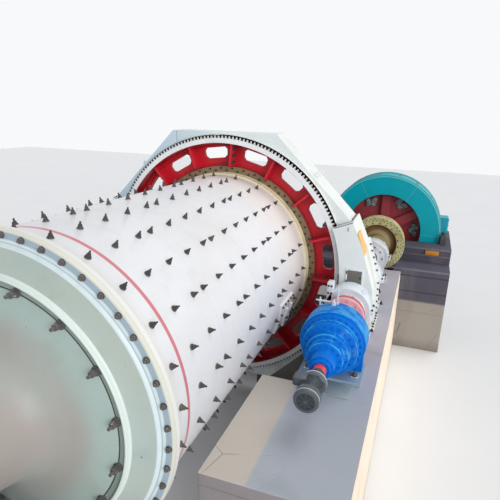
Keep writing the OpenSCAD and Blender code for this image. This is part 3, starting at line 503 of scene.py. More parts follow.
def drum_layers(coat_of, result, roughness):
    _, y, _ = coat_of.split(coat_of.place)
    reach = coat_of.radius(DRUM_AXIS)
    grime = coat_of.noise(1.3, 6, (1, 0.35, 1)).over(0.46, 0.75)
    wear_and_highlight_noise = coat_of.noise(11, 4).over(0.62, 0.8)
    red = y.band(RED_BAND - 0.026, RED_BAND + 0.026, 0.004) * (0.86 - wear_and_highlight_noise * 0.5)
    seam = y.band(4.298, 4.306) + y.band(2.905, 2.911) + y.band(5.70, 5.706)
    collar = y.over(6.925, 6.935) * (1 - reach.over(1.9, 1.905))
    tan = y.over(7.083, 7.088) * reach.over(1.879, 1.884)
    tan_colour = coat_of.mix(wear_and_highlight_noise * 0.6, srgb(136, 116, 88), srgb(92, 82, 66))
    result = coat_of.tint(result, (grime * 0.2, srgb(198, 192, 180)),
                          (y.over(5.0, 7.1) * 0.6, srgb(242, 234, 222)),
                          # By the feed flange the white turns cream paint with soft painted shade towards the
                          # flange.
                          ((1 - y.over(1.56, 1.8)) * 0.55, srgb(222, 220, 208)),
                          (red, srgb(212, 92, 104)), (seam * 0.22, srgb(150, 148, 146)),
                          (collar, srgb(226, 216, 184)), (tan, tan_colour))
    return result, roughness + grime * 0.1


drum_finish = painted("drum_white", srgb(240, 240, 242), srgb(190, 186, 178), 0.34, 0.2, 0.0,
                      drips=False, layers=drum_layers)
bm = bmesh.new()
turned(bm, [
    (SHELL_R - SHELL_T, Y0), (FEED_FLANGE_R - 0.006, Y0), (FEED_FLANGE_R, Y0 + 0.006),
    (FEED_FLANGE_R, Y0 + FLANGE_T - 0.006), (FEED_FLANGE_R - 0.006, Y0 + FLANGE_T),
    (SHELL_R + 0.025, Y0 + FLANGE_T), (SHELL_R + 0.008, Y0 + FLANGE_T + 0.01),
    (SHELL_R, Y0 + FLANGE_T + 0.026), (SHELL_R, Y1 - 0.212), (SHELL_R + 0.03, Y1 - 0.208),
    (SHELL_R + 0.035, Y1 - 0.202), (SHELL_R + 0.035, Y1 - 0.14), (SHELL_R + 0.024, Y1 - 0.132),
    (SHELL_R + 0.024, Y1 - 0.1), (SHELL_R + 0.035, Y1 - 0.092), (SHELL_R + 0.035, Y1 - FLANGE_T - 0.006),
    (SHELL_R + 0.041, Y1 - FLANGE_T), (GEAR_FLANGE_R - 0.006, Y1 - FLANGE_T),
    (GEAR_FLANGE_R, Y1 - FLANGE_T + 0.006), (GEAR_FLANGE_R, Y1), (SHELL_R - SHELL_T, Y1)], DRUM_AXIS, 256)
piece("drum_shell", bm, "drum", drum_finish, ["shell"])

# Liner bolts
# Each liner inside the drum is held by bolts through the shell: a sealing washer, a nut and the bolt's end.
# They stand in 24 rows along the drum, alternate rows stepped, and are bare dark steel with some dust.
ROWS, ROW_PITCH, FIRST_ROW, FIRST_BOLT = 24, 15, 11.4, 1.750
BOLT_PITCH, SHORTER = 0.444, 0.192
liner_bolt_finish = painted("liner_bolts", srgb(66, 62, 62), srgb(112, 102, 92), 0.5, 0.7)
seal_finish = painted("liner_seals", srgb(104, 102, 101), srgb(78, 70, 62), 0.55, 0.6)
nuts, seals = bmesh.new(), bmesh.new()
random.seed(7)
for row in range(ROWS):
    angle = math.radians(FIRST_ROW + ROW_PITCH * row)
    out = Vector((math.sin(angle), 0, math.cos(angle)))
    short_gaps = (3, 9) if row % 2 else (5, 11)
    along = FIRST_BOLT
    for bolt in range(1, 14):
        if along > Y1 - 0.24:
            break
        lean = Vector((random.uniform(-0.05, 0.05), random.uniform(-0.05, 0.05), random.uniform(-0.05, 0.05)))
        where = aim(out * SHELL_R + Vector((0, along, AXIS_Z)), out + lean)
        post(seals, where, -0.012, 0.009, 0.043, 0.038, sides=12)
        post(nuts, where, 0.007, 0.024, 0.036, 0.031, sides=10)
        post(nuts, where, 0.022, 0.052, 0.026, 0.023, sides=6)
        post(nuts, where, 0.050, 0.088, 0.015, 0.010, sides=6)
        along += BOLT_PITCH - (SHORTER if bolt in short_gaps else 0)
piece("liner_nuts", nuts, "drum", liner_bolt_finish)
piece("liner_seals", seals, "drum", seal_finish)

# Drum heads and trunnions
# Cast steel heads bolted to the shell's flanges, each with a trunnion bolted into it.
# The paint is grey-green, with a blue-grey flange and a dark joint line, and painted highlights and shade on
# its steps, lip and recess.
HEAD_LIP_R, TRUNNION_FLANGE_R, TRUNNION_R, BORE_R = 1.54, 1.426, 0.6, 0.43
TRUNNION_END = 1.45 + 0.28 + 0.09


def head_layers(coat_of, result, roughness):
    reach = coat_of.radius(DRUM_AXIS)
    film = coat_of.noise(0.7, 4, shift=(5, 0, 2)).over(0.42, 0.62)
    result = coat_of.tint(result, (film * 0.35, srgb(182, 186, 168)),
                          # Blue-grey flange paint with painted shade in it.
                          (reach.band(1.868, 1.936), srgb(158, 176, 188)),
                          (reach.over(1.934, 1.94), srgb(216, 215, 202)),
                          # Two painted highlight lines on the flange's steps, with a darker line between
                          # them.
                          (reach.band(1.79, 1.868, 0.004), srgb(212, 226, 228)),
                          (reach.band(1.826, 1.838, 0.004) * 0.7, srgb(156, 176, 184)),
                          # A painted highlight on the raised lip.
                          (reach.band(1.505, 1.556, 0.004), srgb(216, 226, 220)),
                          # Painted shade in the recess inside the lip.
                          (reach.band(1.434, 1.505, 0.004), srgb(138, 154, 146)),
                          (reach.band(1.4265, 1.434, 0.001), srgb(34, 38, 36)))
    return result, roughness


def trunnion_layers(coat_of, result, roughness):
    reach = coat_of.radius(DRUM_AXIS)
    film = coat_of.noise(0.6, 3, shift=(1, 4, 2)).over(0.4, 0.65)
    inner = 1 - reach.over(0.98, 1.3)
    result = coat_of.tint(result, (inner * (film * 0.4 + 0.5), srgb(162, 150, 144)),
                          (reach.over(1.419, 1.422), srgb(34, 38, 36)))
    return result, roughness


head_finish = painted("head_paint", srgb(174, 188, 182), srgb(142, 138, 120), 0.36, 0.35, 0.15, drips=False,
                      layers=head_layers)
trunnion_finish = painted("trunnion_paint", srgb(168, 186, 180), srgb(150, 140, 122), 0.38, 0.35, 0.15,
                          drips=False, layers=trunnion_layers)
head_outline = [
    (1.306, -0.04), (SHELL_R - SHELL_T - 0.003, -0.04), (SHELL_R - SHELL_T - 0.003, 0), (FEED_FLANGE_R, 0),
    (FEED_FLANGE_R, 0.05), (FEED_FLANGE_R - 0.004, 0.057), (FEED_FLANGE_R - 0.01, 0.06),
    (SHELL_R + 0.032, 0.06), (SHELL_R + 0.028, 0.062), (SHELL_R + 0.026, 0.07), (SHELL_R + 0.02, 0.073),
    (SHELL_R - 0.014, 0.073), (SHELL_R - 0.024, 0.08), (SHELL_R - 0.036, 0.1), (1.70, 0.134),
    (HEAD_LIP_R + 0.03, 0.182), (HEAD_LIP_R + 0.006, 0.195), (HEAD_LIP_R - 0.001, 0.206),
    (HEAD_LIP_R - 0.004, 0.242), (HEAD_LIP_R - 0.01, 0.25), (HEAD_LIP_R - 0.024, 0.25),
    (HEAD_LIP_R - 0.03, 0.244), (HEAD_LIP_R - 0.032, 0.216), (HEAD_LIP_R - 0.038, 0.21),
    (TRUNNION_FLANGE_R, 0.21), (TRUNNION_FLANGE_R, 0.13), (1.306, 0.13)]
trunnion_outline = [
    (BORE_R, -0.04), (1.305, -0.04), (1.305, 0.131), (TRUNNION_FLANGE_R - 0.004, 0.131),
    (TRUNNION_FLANGE_R - 0.004, 0.21), (TRUNNION_FLANGE_R - 0.009, 0.219), (TRUNNION_FLANGE_R - 0.06, 0.235),
    (1.10, 0.315), (TRUNNION_R + 0.26, 0.42), (TRUNNION_R + 0.15, 0.51), (TRUNNION_R + 0.09, 0.62),
    (TRUNNION_R + 0.05, 0.78), (TRUNNION_R + 0.03, 0.96), (TRUNNION_R + 0.03, 1.14), (TRUNNION_R, 1.16),
    (TRUNNION_R, 1.75), (TRUNNION_R + 0.055, 1.75), (TRUNNION_R + 0.06, 1.755), (TRUNNION_R + 0.06, 1.815),
    (TRUNNION_R + 0.055, TRUNNION_END), (BORE_R + 0.01, TRUNNION_END), (BORE_R, TRUNNION_END - 0.01)]
HEAD_BOLTS, HEAD_BOLT_R, FIRST_HEAD_BOLT = 48, 1.903, 3.5
HEAD_STUDS, HEAD_STUD_R, FIRST_HEAD_STUD = 16, 1.432, 15
head_bolt_finish = painted("head_bolts", srgb(98, 94, 92), srgb(62, 54, 50), 0.4, 0.7, 0.7,
                           srgb(176, 174, 170), drips=False)
for end, start, way in (("feed", Y0, -1), ("discharge", Y1 + FLANGE_T, 1)):
    bm = bmesh.new()
    turned(bm, head_outline, DRUM_AXIS, 192, start, way)
    piece(end + "_head_casting", bm, "drum", head_finish, [end + "_head"])
    bm = bmesh.new()
    turned(bm, trunnion_outline, DRUM_AXIS, 160, start, way)
    piece(end + "_trunnion_casting", bm, "drum", trunnion_finish, [end + "_trunnion"])
    bm = bmesh.new()
    for count in range(HEAD_BOLTS):
        angle = math.radians(FIRST_HEAD_BOLT + count * 360 / HEAD_BOLTS)
        out = HEAD_BOLT_R * Vector((math.sin(angle), 0, math.cos(angle)))
        spot = out + Vector((0, start + way * 0.06, AXIS_Z))
        hex_bolt(bm, spot, (0, way, 0), 0.033)
        if end == "feed":
            hex_bolt(bm, spot + Vector((0, 0.12, 0)), (0, 1, 0), 0.03, stud=0)
    for count in range(HEAD_STUDS):
        angle = math.radians(FIRST_HEAD_STUD + count * 360 / HEAD_STUDS)
        out = HEAD_STUD_R * Vector((math.sin(angle), 0, math.cos(angle)))
        where = aim(out + Vector((0, start + way * 0.218, AXIS_Z)), (0, way, 0))
        post(bm, where, -0.01, 0.012, 0.056, 0.053, sides=16)
        post(bm, where, 0.012, 0.05, 0.041)
        post(bm, where, 0.052, 0.084, 0.039, 0.036)
        post(bm, where, 0.084, 0.13, 0.021, 0.018, sides=10)
    piece(end + "_head_bolts", bm, "drum", head_bolt_finish)
    bm = bmesh.new()
    ring_bolts(bm, DRUM_AXIS, start + way * TRUNNION_END, 0.55, 24, 0.024, way)
    nut_piece(end + "_trunnion_bolts", bm, "drum")

# Manhole covers
# Two curved plates bolted over the drum's manholes, each with a pair of clamp bars and a handle.
# They are painted white with the drum.
finish_node("manhole_covers", drum_finish, 0.005)
MANHOLE_Y, COVER_TOP, MANHOLE_TURNS = Y0 + 4.15, SHELL_R + 0.048, (13, 193)
bm, bars = bmesh.new(), bmesh.new()
for turned_by in MANHOLE_TURNS:
    seat = Matrix.Translation((0, MANHOLE_Y, AXIS_Z)) @ Matrix.Rotation(math.radians(turned_by), 4, "Y")
    edge = [(along, side * 0.25) for along in (-0.32, -0.16, 0.0, 0.16, 0.32) for side in (-1, 1)]
    edge += [(along, side * 0.1) for along in (-0.32, 0.32) for side in (-1, 1)]
    for along, round_by in edge:
        lean = round_by / SHELL_R
        out = Vector((math.cos(lean), 0, math.sin(lean)))
        hex_bolt(bm, seat @ (out * COVER_TOP + Vector((0, along, 0))), seat.to_3x3() @ out, 0.022)
    for along in (-0.13, 0.13):
        slab(bars, (COVER_TOP, along - 0.03, -0.19), (COVER_TOP + 0.055, along + 0.03, 0.19), 0.006, seat)
        out = seat.to_3x3() @ Vector((1, 0, 0))
        hex_bolt(bm, seat @ Vector((COVER_TOP + 0.055, along, 0)), out, 0.03)
nut_piece("manhole_bolts", bm, "drum")
piece("manhole_clamps", bars, "drum", drum_finish)

# Girth gear
# The toothed rim is machined steel, greasy and painted with shade between the teeth, a painted glint on their
# faces, red inside.
# It is bolted to a red web with windows, and a pale seal ring covers the rim's front.
gear_steel = Finish("gear_steel")
_, front, _ = gear_steel.split(gear_steel.facing)
grease = gear_steel.noise(7, 5).over(0.4, 0.65)
# Tooth faces towards the mill's ends are painted light as a glint; the flanks are grease, darkened with
# painted shade in the gaps.
glinting_tooth_face = gear_steel.mix(grease * 0.4, srgb(214, 212, 206), srgb(158, 148, 134))
greasy_shaded_flank = gear_steel.mix(grease, srgb(40, 37, 36), srgb(74, 68, 62))
gear_colour = gear_steel.mix(front.sum("ABSOLUTE").over(0.7, 0.9), greasy_shaded_flank, glinting_tooth_face)
inside = 1 - gear_steel.radius(DRUM_AXIS).over(2.5, 2.505)
inside_red = gear_steel.mix(grease * 0.5, srgb(178, 30, 44), srgb(112, 24, 30))
gear_colour = gear_steel.mix(inside, gear_colour, inside_red)
gear_steel_material = gear_steel.close(gear_colour, grease * 0.2 + 0.35, metallic=0.15,
                                       height=gear_steel.noise(90, 2), depth=0.001)
finish_node("girth_gear", gear_steel_material)


def web_layers(coat_of, result, roughness):
    reach = coat_of.radius(DRUM_AXIS)
    dust = coat_of.noise(3, 5).over(0.5, 0.8)
    rings = reach.band(2.02, 2.032) + reach.band(2.43, 2.442)
    return coat_of.tint(result, (dust * 0.3, srgb(126, 34, 40)), (rings, srgb(122, 20, 28))), roughness


web_finish = painted("gear_red", srgb(204, 28, 46), srgb(130, 22, 30), 0.34, 0.4, 0.12, srgb(90, 60, 50),
                     drips=False, gloss=0.35, layers=web_layers)
finish_node("gear_web", web_finish)
seal_paint = painted("seal_ring_white", srgb(236, 238, 240), srgb(176, 176, 174), 0.35, 0.3, drips=False)
seal_low, seal_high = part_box("gear_seal_ring")
SEAL_IN, SEAL_OUT = 2.4914, 2.5851
bm = bmesh.new()
turned(bm, [(SEAL_IN, seal_low.y + 0.003), (SEAL_IN + 0.003, seal_low.y), (SEAL_OUT - 0.003, seal_low.y),
            (SEAL_OUT, seal_low.y + 0.003), (SEAL_OUT, seal_high.y), (SEAL_IN, seal_high.y)], DRUM_AXIS, 256)
ring_bolts(bm, DRUM_AXIS, seal_low.y, 2.506, 64, 0.010, -1, 2, stud=0)
piece("seal_ring", bm, "drum", seal_paint, ["gear_seal_ring"])
bm = bmesh.new()
for way, reach, first in ((-1, 1.918, 0), (-1, 1.966, 3.75), (1, 1.985, 3.75)):
    ring_bolts(bm, DRUM_AXIS, Y1 + way * FLANGE_T, reach, 48, 0.020, way, first)
GEAR_JOINTS = (4.5, 94.5, 184.5, 274.5)
for turned_by in GEAR_JOINTS:
    line = Vector((math.cos(math.radians(turned_by)), 0, -math.sin(math.radians(turned_by))))
    across = Vector((-line.z, 0, line.x))
    for y in (Y1 - 0.12, Y1 - 0.22, Y1 + FLANGE_T + 0.1, Y1 + FLANGE_T + 0.2):
        for reach in (2.12, 2.25, 2.38):
            for side in (-1, 1):
                place = line * reach + across * (0.0225 * side) + Vector((0, y, AXIS_Z))
                hex_bolt(bm, place, across * side, 0.03)
nut_piece("gear_bolts", bm, "drum")
bm = bmesh.new()
turned(bm, [(2.05, 0.002), (2.05, -0.012), (2.062, -0.012), (2.075, 0.002)], DRUM_AXIS, 192, Y1)
turned(bm, [(2.42, 0.002), (2.43, -0.012), (2.442, -0.012), (2.442, 0.002)], DRUM_AXIS, 192, Y1)
piece("web_rings", bm, "drum", web_finish)

# Gear guard
# Welded sheet round the gear in bolted sections, painted white, the drive side section standing on the block.
# The joints have bolted flanges, a bent lip runs round the opening, and the hatch is a dark plate in a frame.
GUARD_BORE, GUARD_SLOPE, GUARD_FRONT, GUARD_REAR = 2.65, 2.7195, 6.9, 7.57
SIDE_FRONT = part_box("guard_drive_side")[0].y
SHOULDER, KNEE, NOSE = (2.9995, 0.6804), (3.2757, -0.15), (3.3007, -1.0)
JOINT_TURN = 22.5


def guard_light_shade_and_dirt(coat_of, result, roughness):
    x, _, z = coat_of.split(coat_of.place)
    across, _, _ = coat_of.split(coat_of.facing)
    foot = (1 - z.over(BLOCK_TOP, BLOCK_TOP + 0.35)) * coat_of.noise(4, 5).over(0.4, 0.7)
    # Faces towards the drive side are painted lighter as warm light, the left part bluish as painted shade,
    # and dirt lies at the foot.
    result = coat_of.tint(result, (across.over(0.55, 0.85) * 0.5, srgb(250, 244, 232)),
                          ((1 - x.over(-1.6, 0.4)) * 0.75, srgb(176, 202, 218)),
                          (foot * 0.4, srgb(150, 138, 122)))
    return result, roughness


guard_finish = painted("guard_white", srgb(230, 236, 235), srgb(176, 172, 160), 0.36, 0.28, 0.06,
                       srgb(120, 100, 84), layers=guard_light_shade_and_dirt)
for name in ("guard_top", "guard_drive_side", "guard_left_side", "guard_sump"):
    finish_node(name, guard_finish)
dark_finish = painted("dark_steelwork", srgb(70, 72, 76), srgb(98, 84, 70), 0.45, 0.5, 0.3, srgb(110, 80, 60))
finish_node("guard_stand", dark_finish, 0.008)
trim, bm, seams = bmesh.new(), bmesh.new(), bmesh.new()
turned(trim, [(GUARD_BORE + 0.004, GUARD_FRONT + 0.002), (GUARD_BORE + 0.004, GUARD_FRONT - 0.05),
              (GUARD_BORE + 0.008, GUARD_FRONT - 0.054), (GUARD_BORE + 0.014, GUARD_FRONT - 0.05),
              (GUARD_BORE + 0.014, GUARD_FRONT + 0.002)], DRUM_AXIS, 256)
low_side = [vert for vert in trim.verts if vert.co.x > 0 and
            math.degrees(math.atan2(vert.co.z - AXIS_Z, vert.co.x)) < JOINT_TURN + 0.5]
bmesh.ops.delete(trim, geom=low_side, context="VERTS")
for turned_by in (JOINT_TURN, 180 - JOINT_TURN, 180 + JOINT_TURN):
    line = Vector((math.cos(math.radians(turned_by)), 0, math.sin(math.radians(turned_by))))
    normal = Vector((-line.z, 0, line.x))
    for number in range(5):
        y = GUARD_FRONT + 0.06 + number * 0.137
        place = line * (GUARD_BORE + 0.32) + Vector((0, y, AXIS_Z))
        for side in (-1, 1):
            hex_bolt(bm, place + normal * (0.0125 * side), normal * side, 0.018)
    inner = line * (GUARD_BORE + 0.02)
    for side in (-1, 1):
        start = inner + normal * (0.004 * side) + Vector((0, GUARD_FRONT - 0.0005, AXIS_Z))
        lean = Matrix.Rotation(-math.radians(turned_by), 4, "Y")
        slab(seams, (0, -0.0015, -0.003), (0.32, 0.002, 0.003), place=Matrix.Translation(start) @ lean)
joint = Matrix.Translation((0, SIDE_FRONT, AXIS_Z)) @ Matrix.Rotation(-math.radians(JOINT_TURN), 4, "Y")
slab(seams, (2.655, -0.002, -0.009), (3.015, 0.002, 0.004), place=joint)
slab(seams, (-1.06, GUARD_FRONT - 0.002, AXIS_Z + 2.44), (-1.054, GUARD_FRONT + 0.001, AXIS_Z + 2.69))
slab(seams, (2.698, SIDE_FRONT - 0.003, AXIS_Z + 0.975), (2.712, SIDE_FRONT + 0.002, AXIS_Z + 1.05), 0.001)
slab(seams, (2.578, SIDE_FRONT - 0.018, AXIS_Z - 0.18), (2.602, SIDE_FRONT + 0.002, AXIS_Z + 0.09), 0.004)
for angle in (45, 135):
    out = Vector((math.cos(math.radians(angle)), 0, math.sin(math.radians(angle))))
    for y in (GUARD_FRONT + 0.15, GUARD_REAR - 0.15):
        lifting_ring(trim, out * GUARD_SLOPE + Vector((0, y, AXIS_Z)), out, 0.04, 0.011)
hatch_low, hatch_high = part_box("guard_hatch")
for low_x, high_x, low_z, high_z in (
        (hatch_low.x - 0.03, hatch_low.x + 0.004, hatch_low.z - 0.03, hatch_high.z + 0.03),
        (hatch_high.x - 0.004, hatch_high.x + 0.03, hatch_low.z - 0.03, hatch_high.z + 0.03),
        (hatch_low.x, hatch_high.x, hatch_low.z - 0.03, hatch_low.z + 0.004),
        (hatch_low.x, hatch_high.x, hatch_high.z - 0.004, hatch_high.z + 0.03)):
    slab(trim, (low_x, SIDE_FRONT - 0.016, low_z), (high_x, SIDE_FRONT + 0.002, high_z), 0.004)
for z in (hatch_low.z + 0.05, hatch_high.z - 0.05):
    post(bm, aim((hatch_low.x - 0.008, SIDE_FRONT - 0.02, z), (0, 0, 1)), -0.03, 0.03, 0.011, sides=10)
hex_bolt(bm, (hatch_high.x - 0.03, hatch_low.y, (hatch_low.z + hatch_high.z) / 2), (0, -1, 0), 0.016)
FOOT_X, FOOT_Y, FOOT_TOP = NOSE[0] + 0.08, SIDE_FRONT - 0.08, BLOCK_TOP + 0.014
slab(trim, (2.52, FOOT_Y, BLOCK_TOP), (FOOT_X, SIDE_FRONT + 0.002, FOOT_TOP), 0.003)
slab(trim, (NOSE[0] - 0.001, FOOT_Y, BLOCK_TOP), (FOOT_X, GUARD_REAR, FOOT_TOP), 0.003)
for number in range(6):
    hex_bolt(bm, (2.6 + number * 0.13, SIDE_FRONT - 0.045, FOOT_TOP), (0, 0, 1), 0.02)
for number in range(7):
    hex_bolt(bm, (NOSE[0] + 0.045, SIDE_FRONT + number * 0.14, FOOT_TOP), (0, 0, 1), 0.022)
for y in (SIDE_FRONT + 0.3, GUARD_REAR - 0.012):
    for (low_x, low_z), (high_x, high_z) in ((KNEE, SHOULDER), (NOSE, KNEE)):
        run = Vector((high_x - low_x, 0, high_z - low_z))
        slab(trim, (-0.005, 0, 0), (0.05, 0.012, run.length), 0.002, aim((low_x, y, AXIS_Z + low_z), run))
        if y > GUARD_REAR - 0.1:
            for share in range(1, 6):
                spot = Vector((low_x + 0.028, y, AXIS_Z + low_z)) + run * (share / 6)
                hex_bolt(bm, spot, (0, -1, 0), 0.018)
piece("guard_trim", trim, "foundation", guard_finish)
nut_piece("guard_bolts", bm)
nut_piece("guard_seams", seams)
finish_node("guard_hatch", painted("hatch_grey", srgb(112, 110, 104), srgb(78, 74, 66), 0.5, 0.6, 0.3,
                                   srgb(140, 134, 124), drips=False))
bm = bmesh.new()
patch = [(2.905, 0.95), (SHOULDER[0] + 0.012, SHOULDER[1] + 0.004), (3.06, 0.53)]
line = [bm.verts.new((x, SIDE_FRONT + 0.012, AXIS_Z + z)) for x, z in patch]
edges = [bm.edges.new(pair) for pair in zip(line, line[1:])]
bmesh.ops.extrude_edge_only(bm, edges=edges)
bmesh.ops.translate(bm, vec=(0, 0.34, 0), verts=[vert for vert in bm.verts if vert not in line])
bmesh.ops.recalc_face_normals(bm, faces=bm.faces[:])
bmesh.ops.solidify(bm, geom=bm.faces[:], thickness=0.012)
amber_finish = painted("amber_plate", srgb(252, 194, 112), srgb(214, 140, 88), 0.45, 0.5, 0.2,
                       srgb(150, 96, 60), drips=False)
piece("guard_side_plate", bm, "foundation", amber_finish)

# Pinion and its shaft bearings
# The pinion's shaft turns in housings on the block: two beside the guard and one by the clutch.
# Each housing is painted pale blue-white, with bolted end covers, a split flange and a lifting ring.
shaft_steel = Finish("shaft_steel")
turning = shaft_steel.noise(40, 3, (1, 6, 1))
shaft_material = shaft_steel.close(shaft_steel.mix(turning, srgb(168, 166, 164), srgb(196, 194, 190)),
                                   turning * 0.15 + 0.28, metallic=0.8, height=turning, depth=0.0006)
for name in ("pinion_shaft", "motor_shaft"):
    finish_node(name, shaft_material)
finish_node("pinion", gear_steel_material)
line_bearing_finish = painted("line_bearing_white", srgb(222, 231, 236), srgb(150, 142, 130), 0.3, 0.35, 0.2,
                              gloss=0.6)
silver_finish = painted("bearing_silver", srgb(214, 216, 222), srgb(112, 108, 108), 0.28, 0.5, 0.25,
                        gloss=0.8)


def housing_trim(bm, trim, node, top_r, shaft_r, foot_half, cover_r):
    """Bolts, end covers, split flanges and a lifting ring for one shaft bearing."""
    low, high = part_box(node)
    for face, y in ((-1, low.y), (1, high.y)):
        turned(trim, [(shaft_r + 0.012, -0.004), (cover_r, -0.004), (cover_r, 0.018),
                      (cover_r - 0.008, 0.026), (shaft_r + 0.05, 0.026), (shaft_r + 0.042, 0.04),
                      (shaft_r + 0.012, 0.04)], DRIVE_AXIS, 72, y, face)
        ring_bolts(bm, DRIVE_AXIS, y + face * 0.026, cover_r - 0.035, 10, 0.018, face, 18)
    for side in (-1, 1):
        wide = sorted((DRIVE_X + side * (top_r - 0.01), DRIVE_X + side * (top_r + 0.06)))
        slab(trim, (wide[0], low.y + 0.02, DRIVE_Z - 0.035), (wide[1], high.y - 0.02, DRIVE_Z - 0.002), 0.006)
        slab(trim, (wide[0], low.y + 0.02, DRIVE_Z + 0.002), (wide[1], high.y - 0.02, DRIVE_Z + 0.035), 0.006)
        for y in (low.y + 0.08, high.y - 0.08):
            hex_bolt(bm, (DRIVE_X + side * (top_r + 0.025), y, DRIVE_Z + 0.035), (0, 0, 1), 0.022)
            foot = (DRIVE_X + side * (foot_half - 0.045), y, BLOCK_TOP + 0.09)
            hex_bolt(bm, foot, (0, 0, 1), 0.034, stud=1.0)
    lean = Vector((0.6, 0, 0.8))
    lifting_ring(trim, Vector((DRIVE_X, low.y + 0.1, DRIVE_Z)) + lean * top_r, lean, 0.034, 0.010)


bm, trim = bmesh.new(), bmesh.new()
low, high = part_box("pinion_bearing_near")
LINE_HOUSING = {"top_r": 0.43, "shaft_r": 0.16, "foot_half": (high.x - low.x) / 2, "cover_r": 0.33}
for name in ("pinion_bearing_near", "pinion_bearing_far"):
    finish_node(name, line_bearing_finish, 0.012)
    housing_trim(bm, trim, name, **LINE_HOUSING)
BRACKET_X = 2.505
slab(trim, (BRACKET_X, low.y, AXIS_Z - 0.25), (BRACKET_X + 0.115, low.y + 0.2, AXIS_Z + 0.14), 0.016)
slab(trim, (BRACKET_X + 0.055, low.y + 0.03, AXIS_Z - 0.5),
     (BRACKET_X + 0.115, low.y + 0.17, AXIS_Z - 0.24), 0.01)
for z in (-0.2, -0.06, 0.08):
    for x in (0.03, 0.087):
        hex_bolt(bm, (BRACKET_X + x, low.y, AXIS_Z + z), (0, -1, 0), 0.018)
piece("pinion_bearing_trim", trim, "foundation", line_bearing_finish)
trim = bmesh.new()
finish_node("clutch_bearing", silver_finish, 0.012)
housing_trim(bm, trim, "clutch_bearing", **LINE_HOUSING)
piece("clutch_bearing_trim", trim, "foundation", silver_finish)
nut_piece("line_bearing_bolts", bm)

# Toothed coupling
# Joins the slow drive to the pinion's shaft: two bolted halves, pinkish cream in front and crimson behind.
# The slow drive's half stands still while the mill runs, and the other turns with the pinion.
crimson_finish = painted("coupling_crimson", srgb(196, 84, 104), srgb(130, 50, 62), 0.38, 0.45, 0.3,
                         srgb(210, 170, 170), drips=False)
cream_finish = painted("coupling_cream", srgb(236, 176, 178), srgb(206, 104, 116), 0.4, 0.6, 0.5,
                       srgb(246, 226, 214), drips=False)
COUPLING_R = 0.37
near_face, far_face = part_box("reducer_coupling_half")[1].y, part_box("pinion_coupling_half")[0].y
for name, face, way, bore, body, finish in (
        ("slow_drive_coupling", near_face, -1, 0.1, "foundation", cream_finish),
        ("shaft_coupling", far_face, 1, 0.1602, "pinion_line", crimson_finish)):
    bm = bmesh.new()
    outline = [(bore, 0.0), (COUPLING_R - 0.006, 0.0), (COUPLING_R, 0.006), (COUPLING_R, 0.062),
               (COUPLING_R - 0.008, 0.07), (COUPLING_R * 0.74, 0.072), (COUPLING_R * 0.7, 0.09),
               (COUPLING_R * 0.63, 0.176), (COUPLING_R * 0.6, 0.19), (bore, 0.19)]
    turned(bm, outline, DRIVE_AXIS, 96, face, way)
    piece(name, bm, body, finish,
          ["reducer_coupling_half" if way < 0 else "pinion_coupling_half"])
    bm = bmesh.new()
    ring_bolts(bm, DRIVE_AXIS, face + way * 0.07, 0.322, 12, 0.024, way, 12)
    piece(name + "_bolts", bm, body, finish)

# Reducer of the slow drive
# A row of planetary stages in round flanged casings that grow towards the mill, painted bright blue.
# It stands on a saddle with a pale foot plate, with a lifting lug and a pale breather pipe on top.
NOSE_Y, REDUCER_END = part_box("reducer_body")[0].y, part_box("reducer_body")[1].y


def reducer_layers(coat_of, result, roughness):
    reach = coat_of.radius(DRIVE_AXIS)
    x, y, z = coat_of.split(coat_of.place)
    wear_and_highlight_noise = coat_of.noise(5, 5, (1, 2, 1), shift=(2, 0, 1))
    # The pale patch on the casing's right side is a painted highlight.
    pale = wear_and_highlight_noise.over(0.52, 0.68) * y.band(NOSE_Y + 0.44, NOSE_Y + 0.62, 0.05) * x.over(DRIVE_X, DRIVE_X + 0.1)
    # The bright cyan lines along the rings' edges are painted highlights.
    ring_edge_highlight = reach.band(0.268, 0.276) + reach.band(0.328, 0.336)
    ring_edge_highlight = ring_edge_highlight + reach.band(0.433, 0.441) + reach.band(0.523, 0.531)
    shaft = y.over(NOSE_Y + 1.562, NOSE_Y + 1.566) * (1 - reach.over(0.1, 0.11))
    plate = 1 - z.over(BLOCK_TOP + 0.071, BLOCK_TOP + 0.073)
    result = coat_of.tint(result, (pale * 0.6, srgb(120, 170, 206)),
                          (ring_edge_highlight * wear_and_highlight_noise.over(0.42, 0.56) * 0.6, srgb(70, 190, 236)),
                          (shaft, srgb(176, 172, 170)), (plate * 0.9, srgb(158, 174, 184)))
    return result, roughness


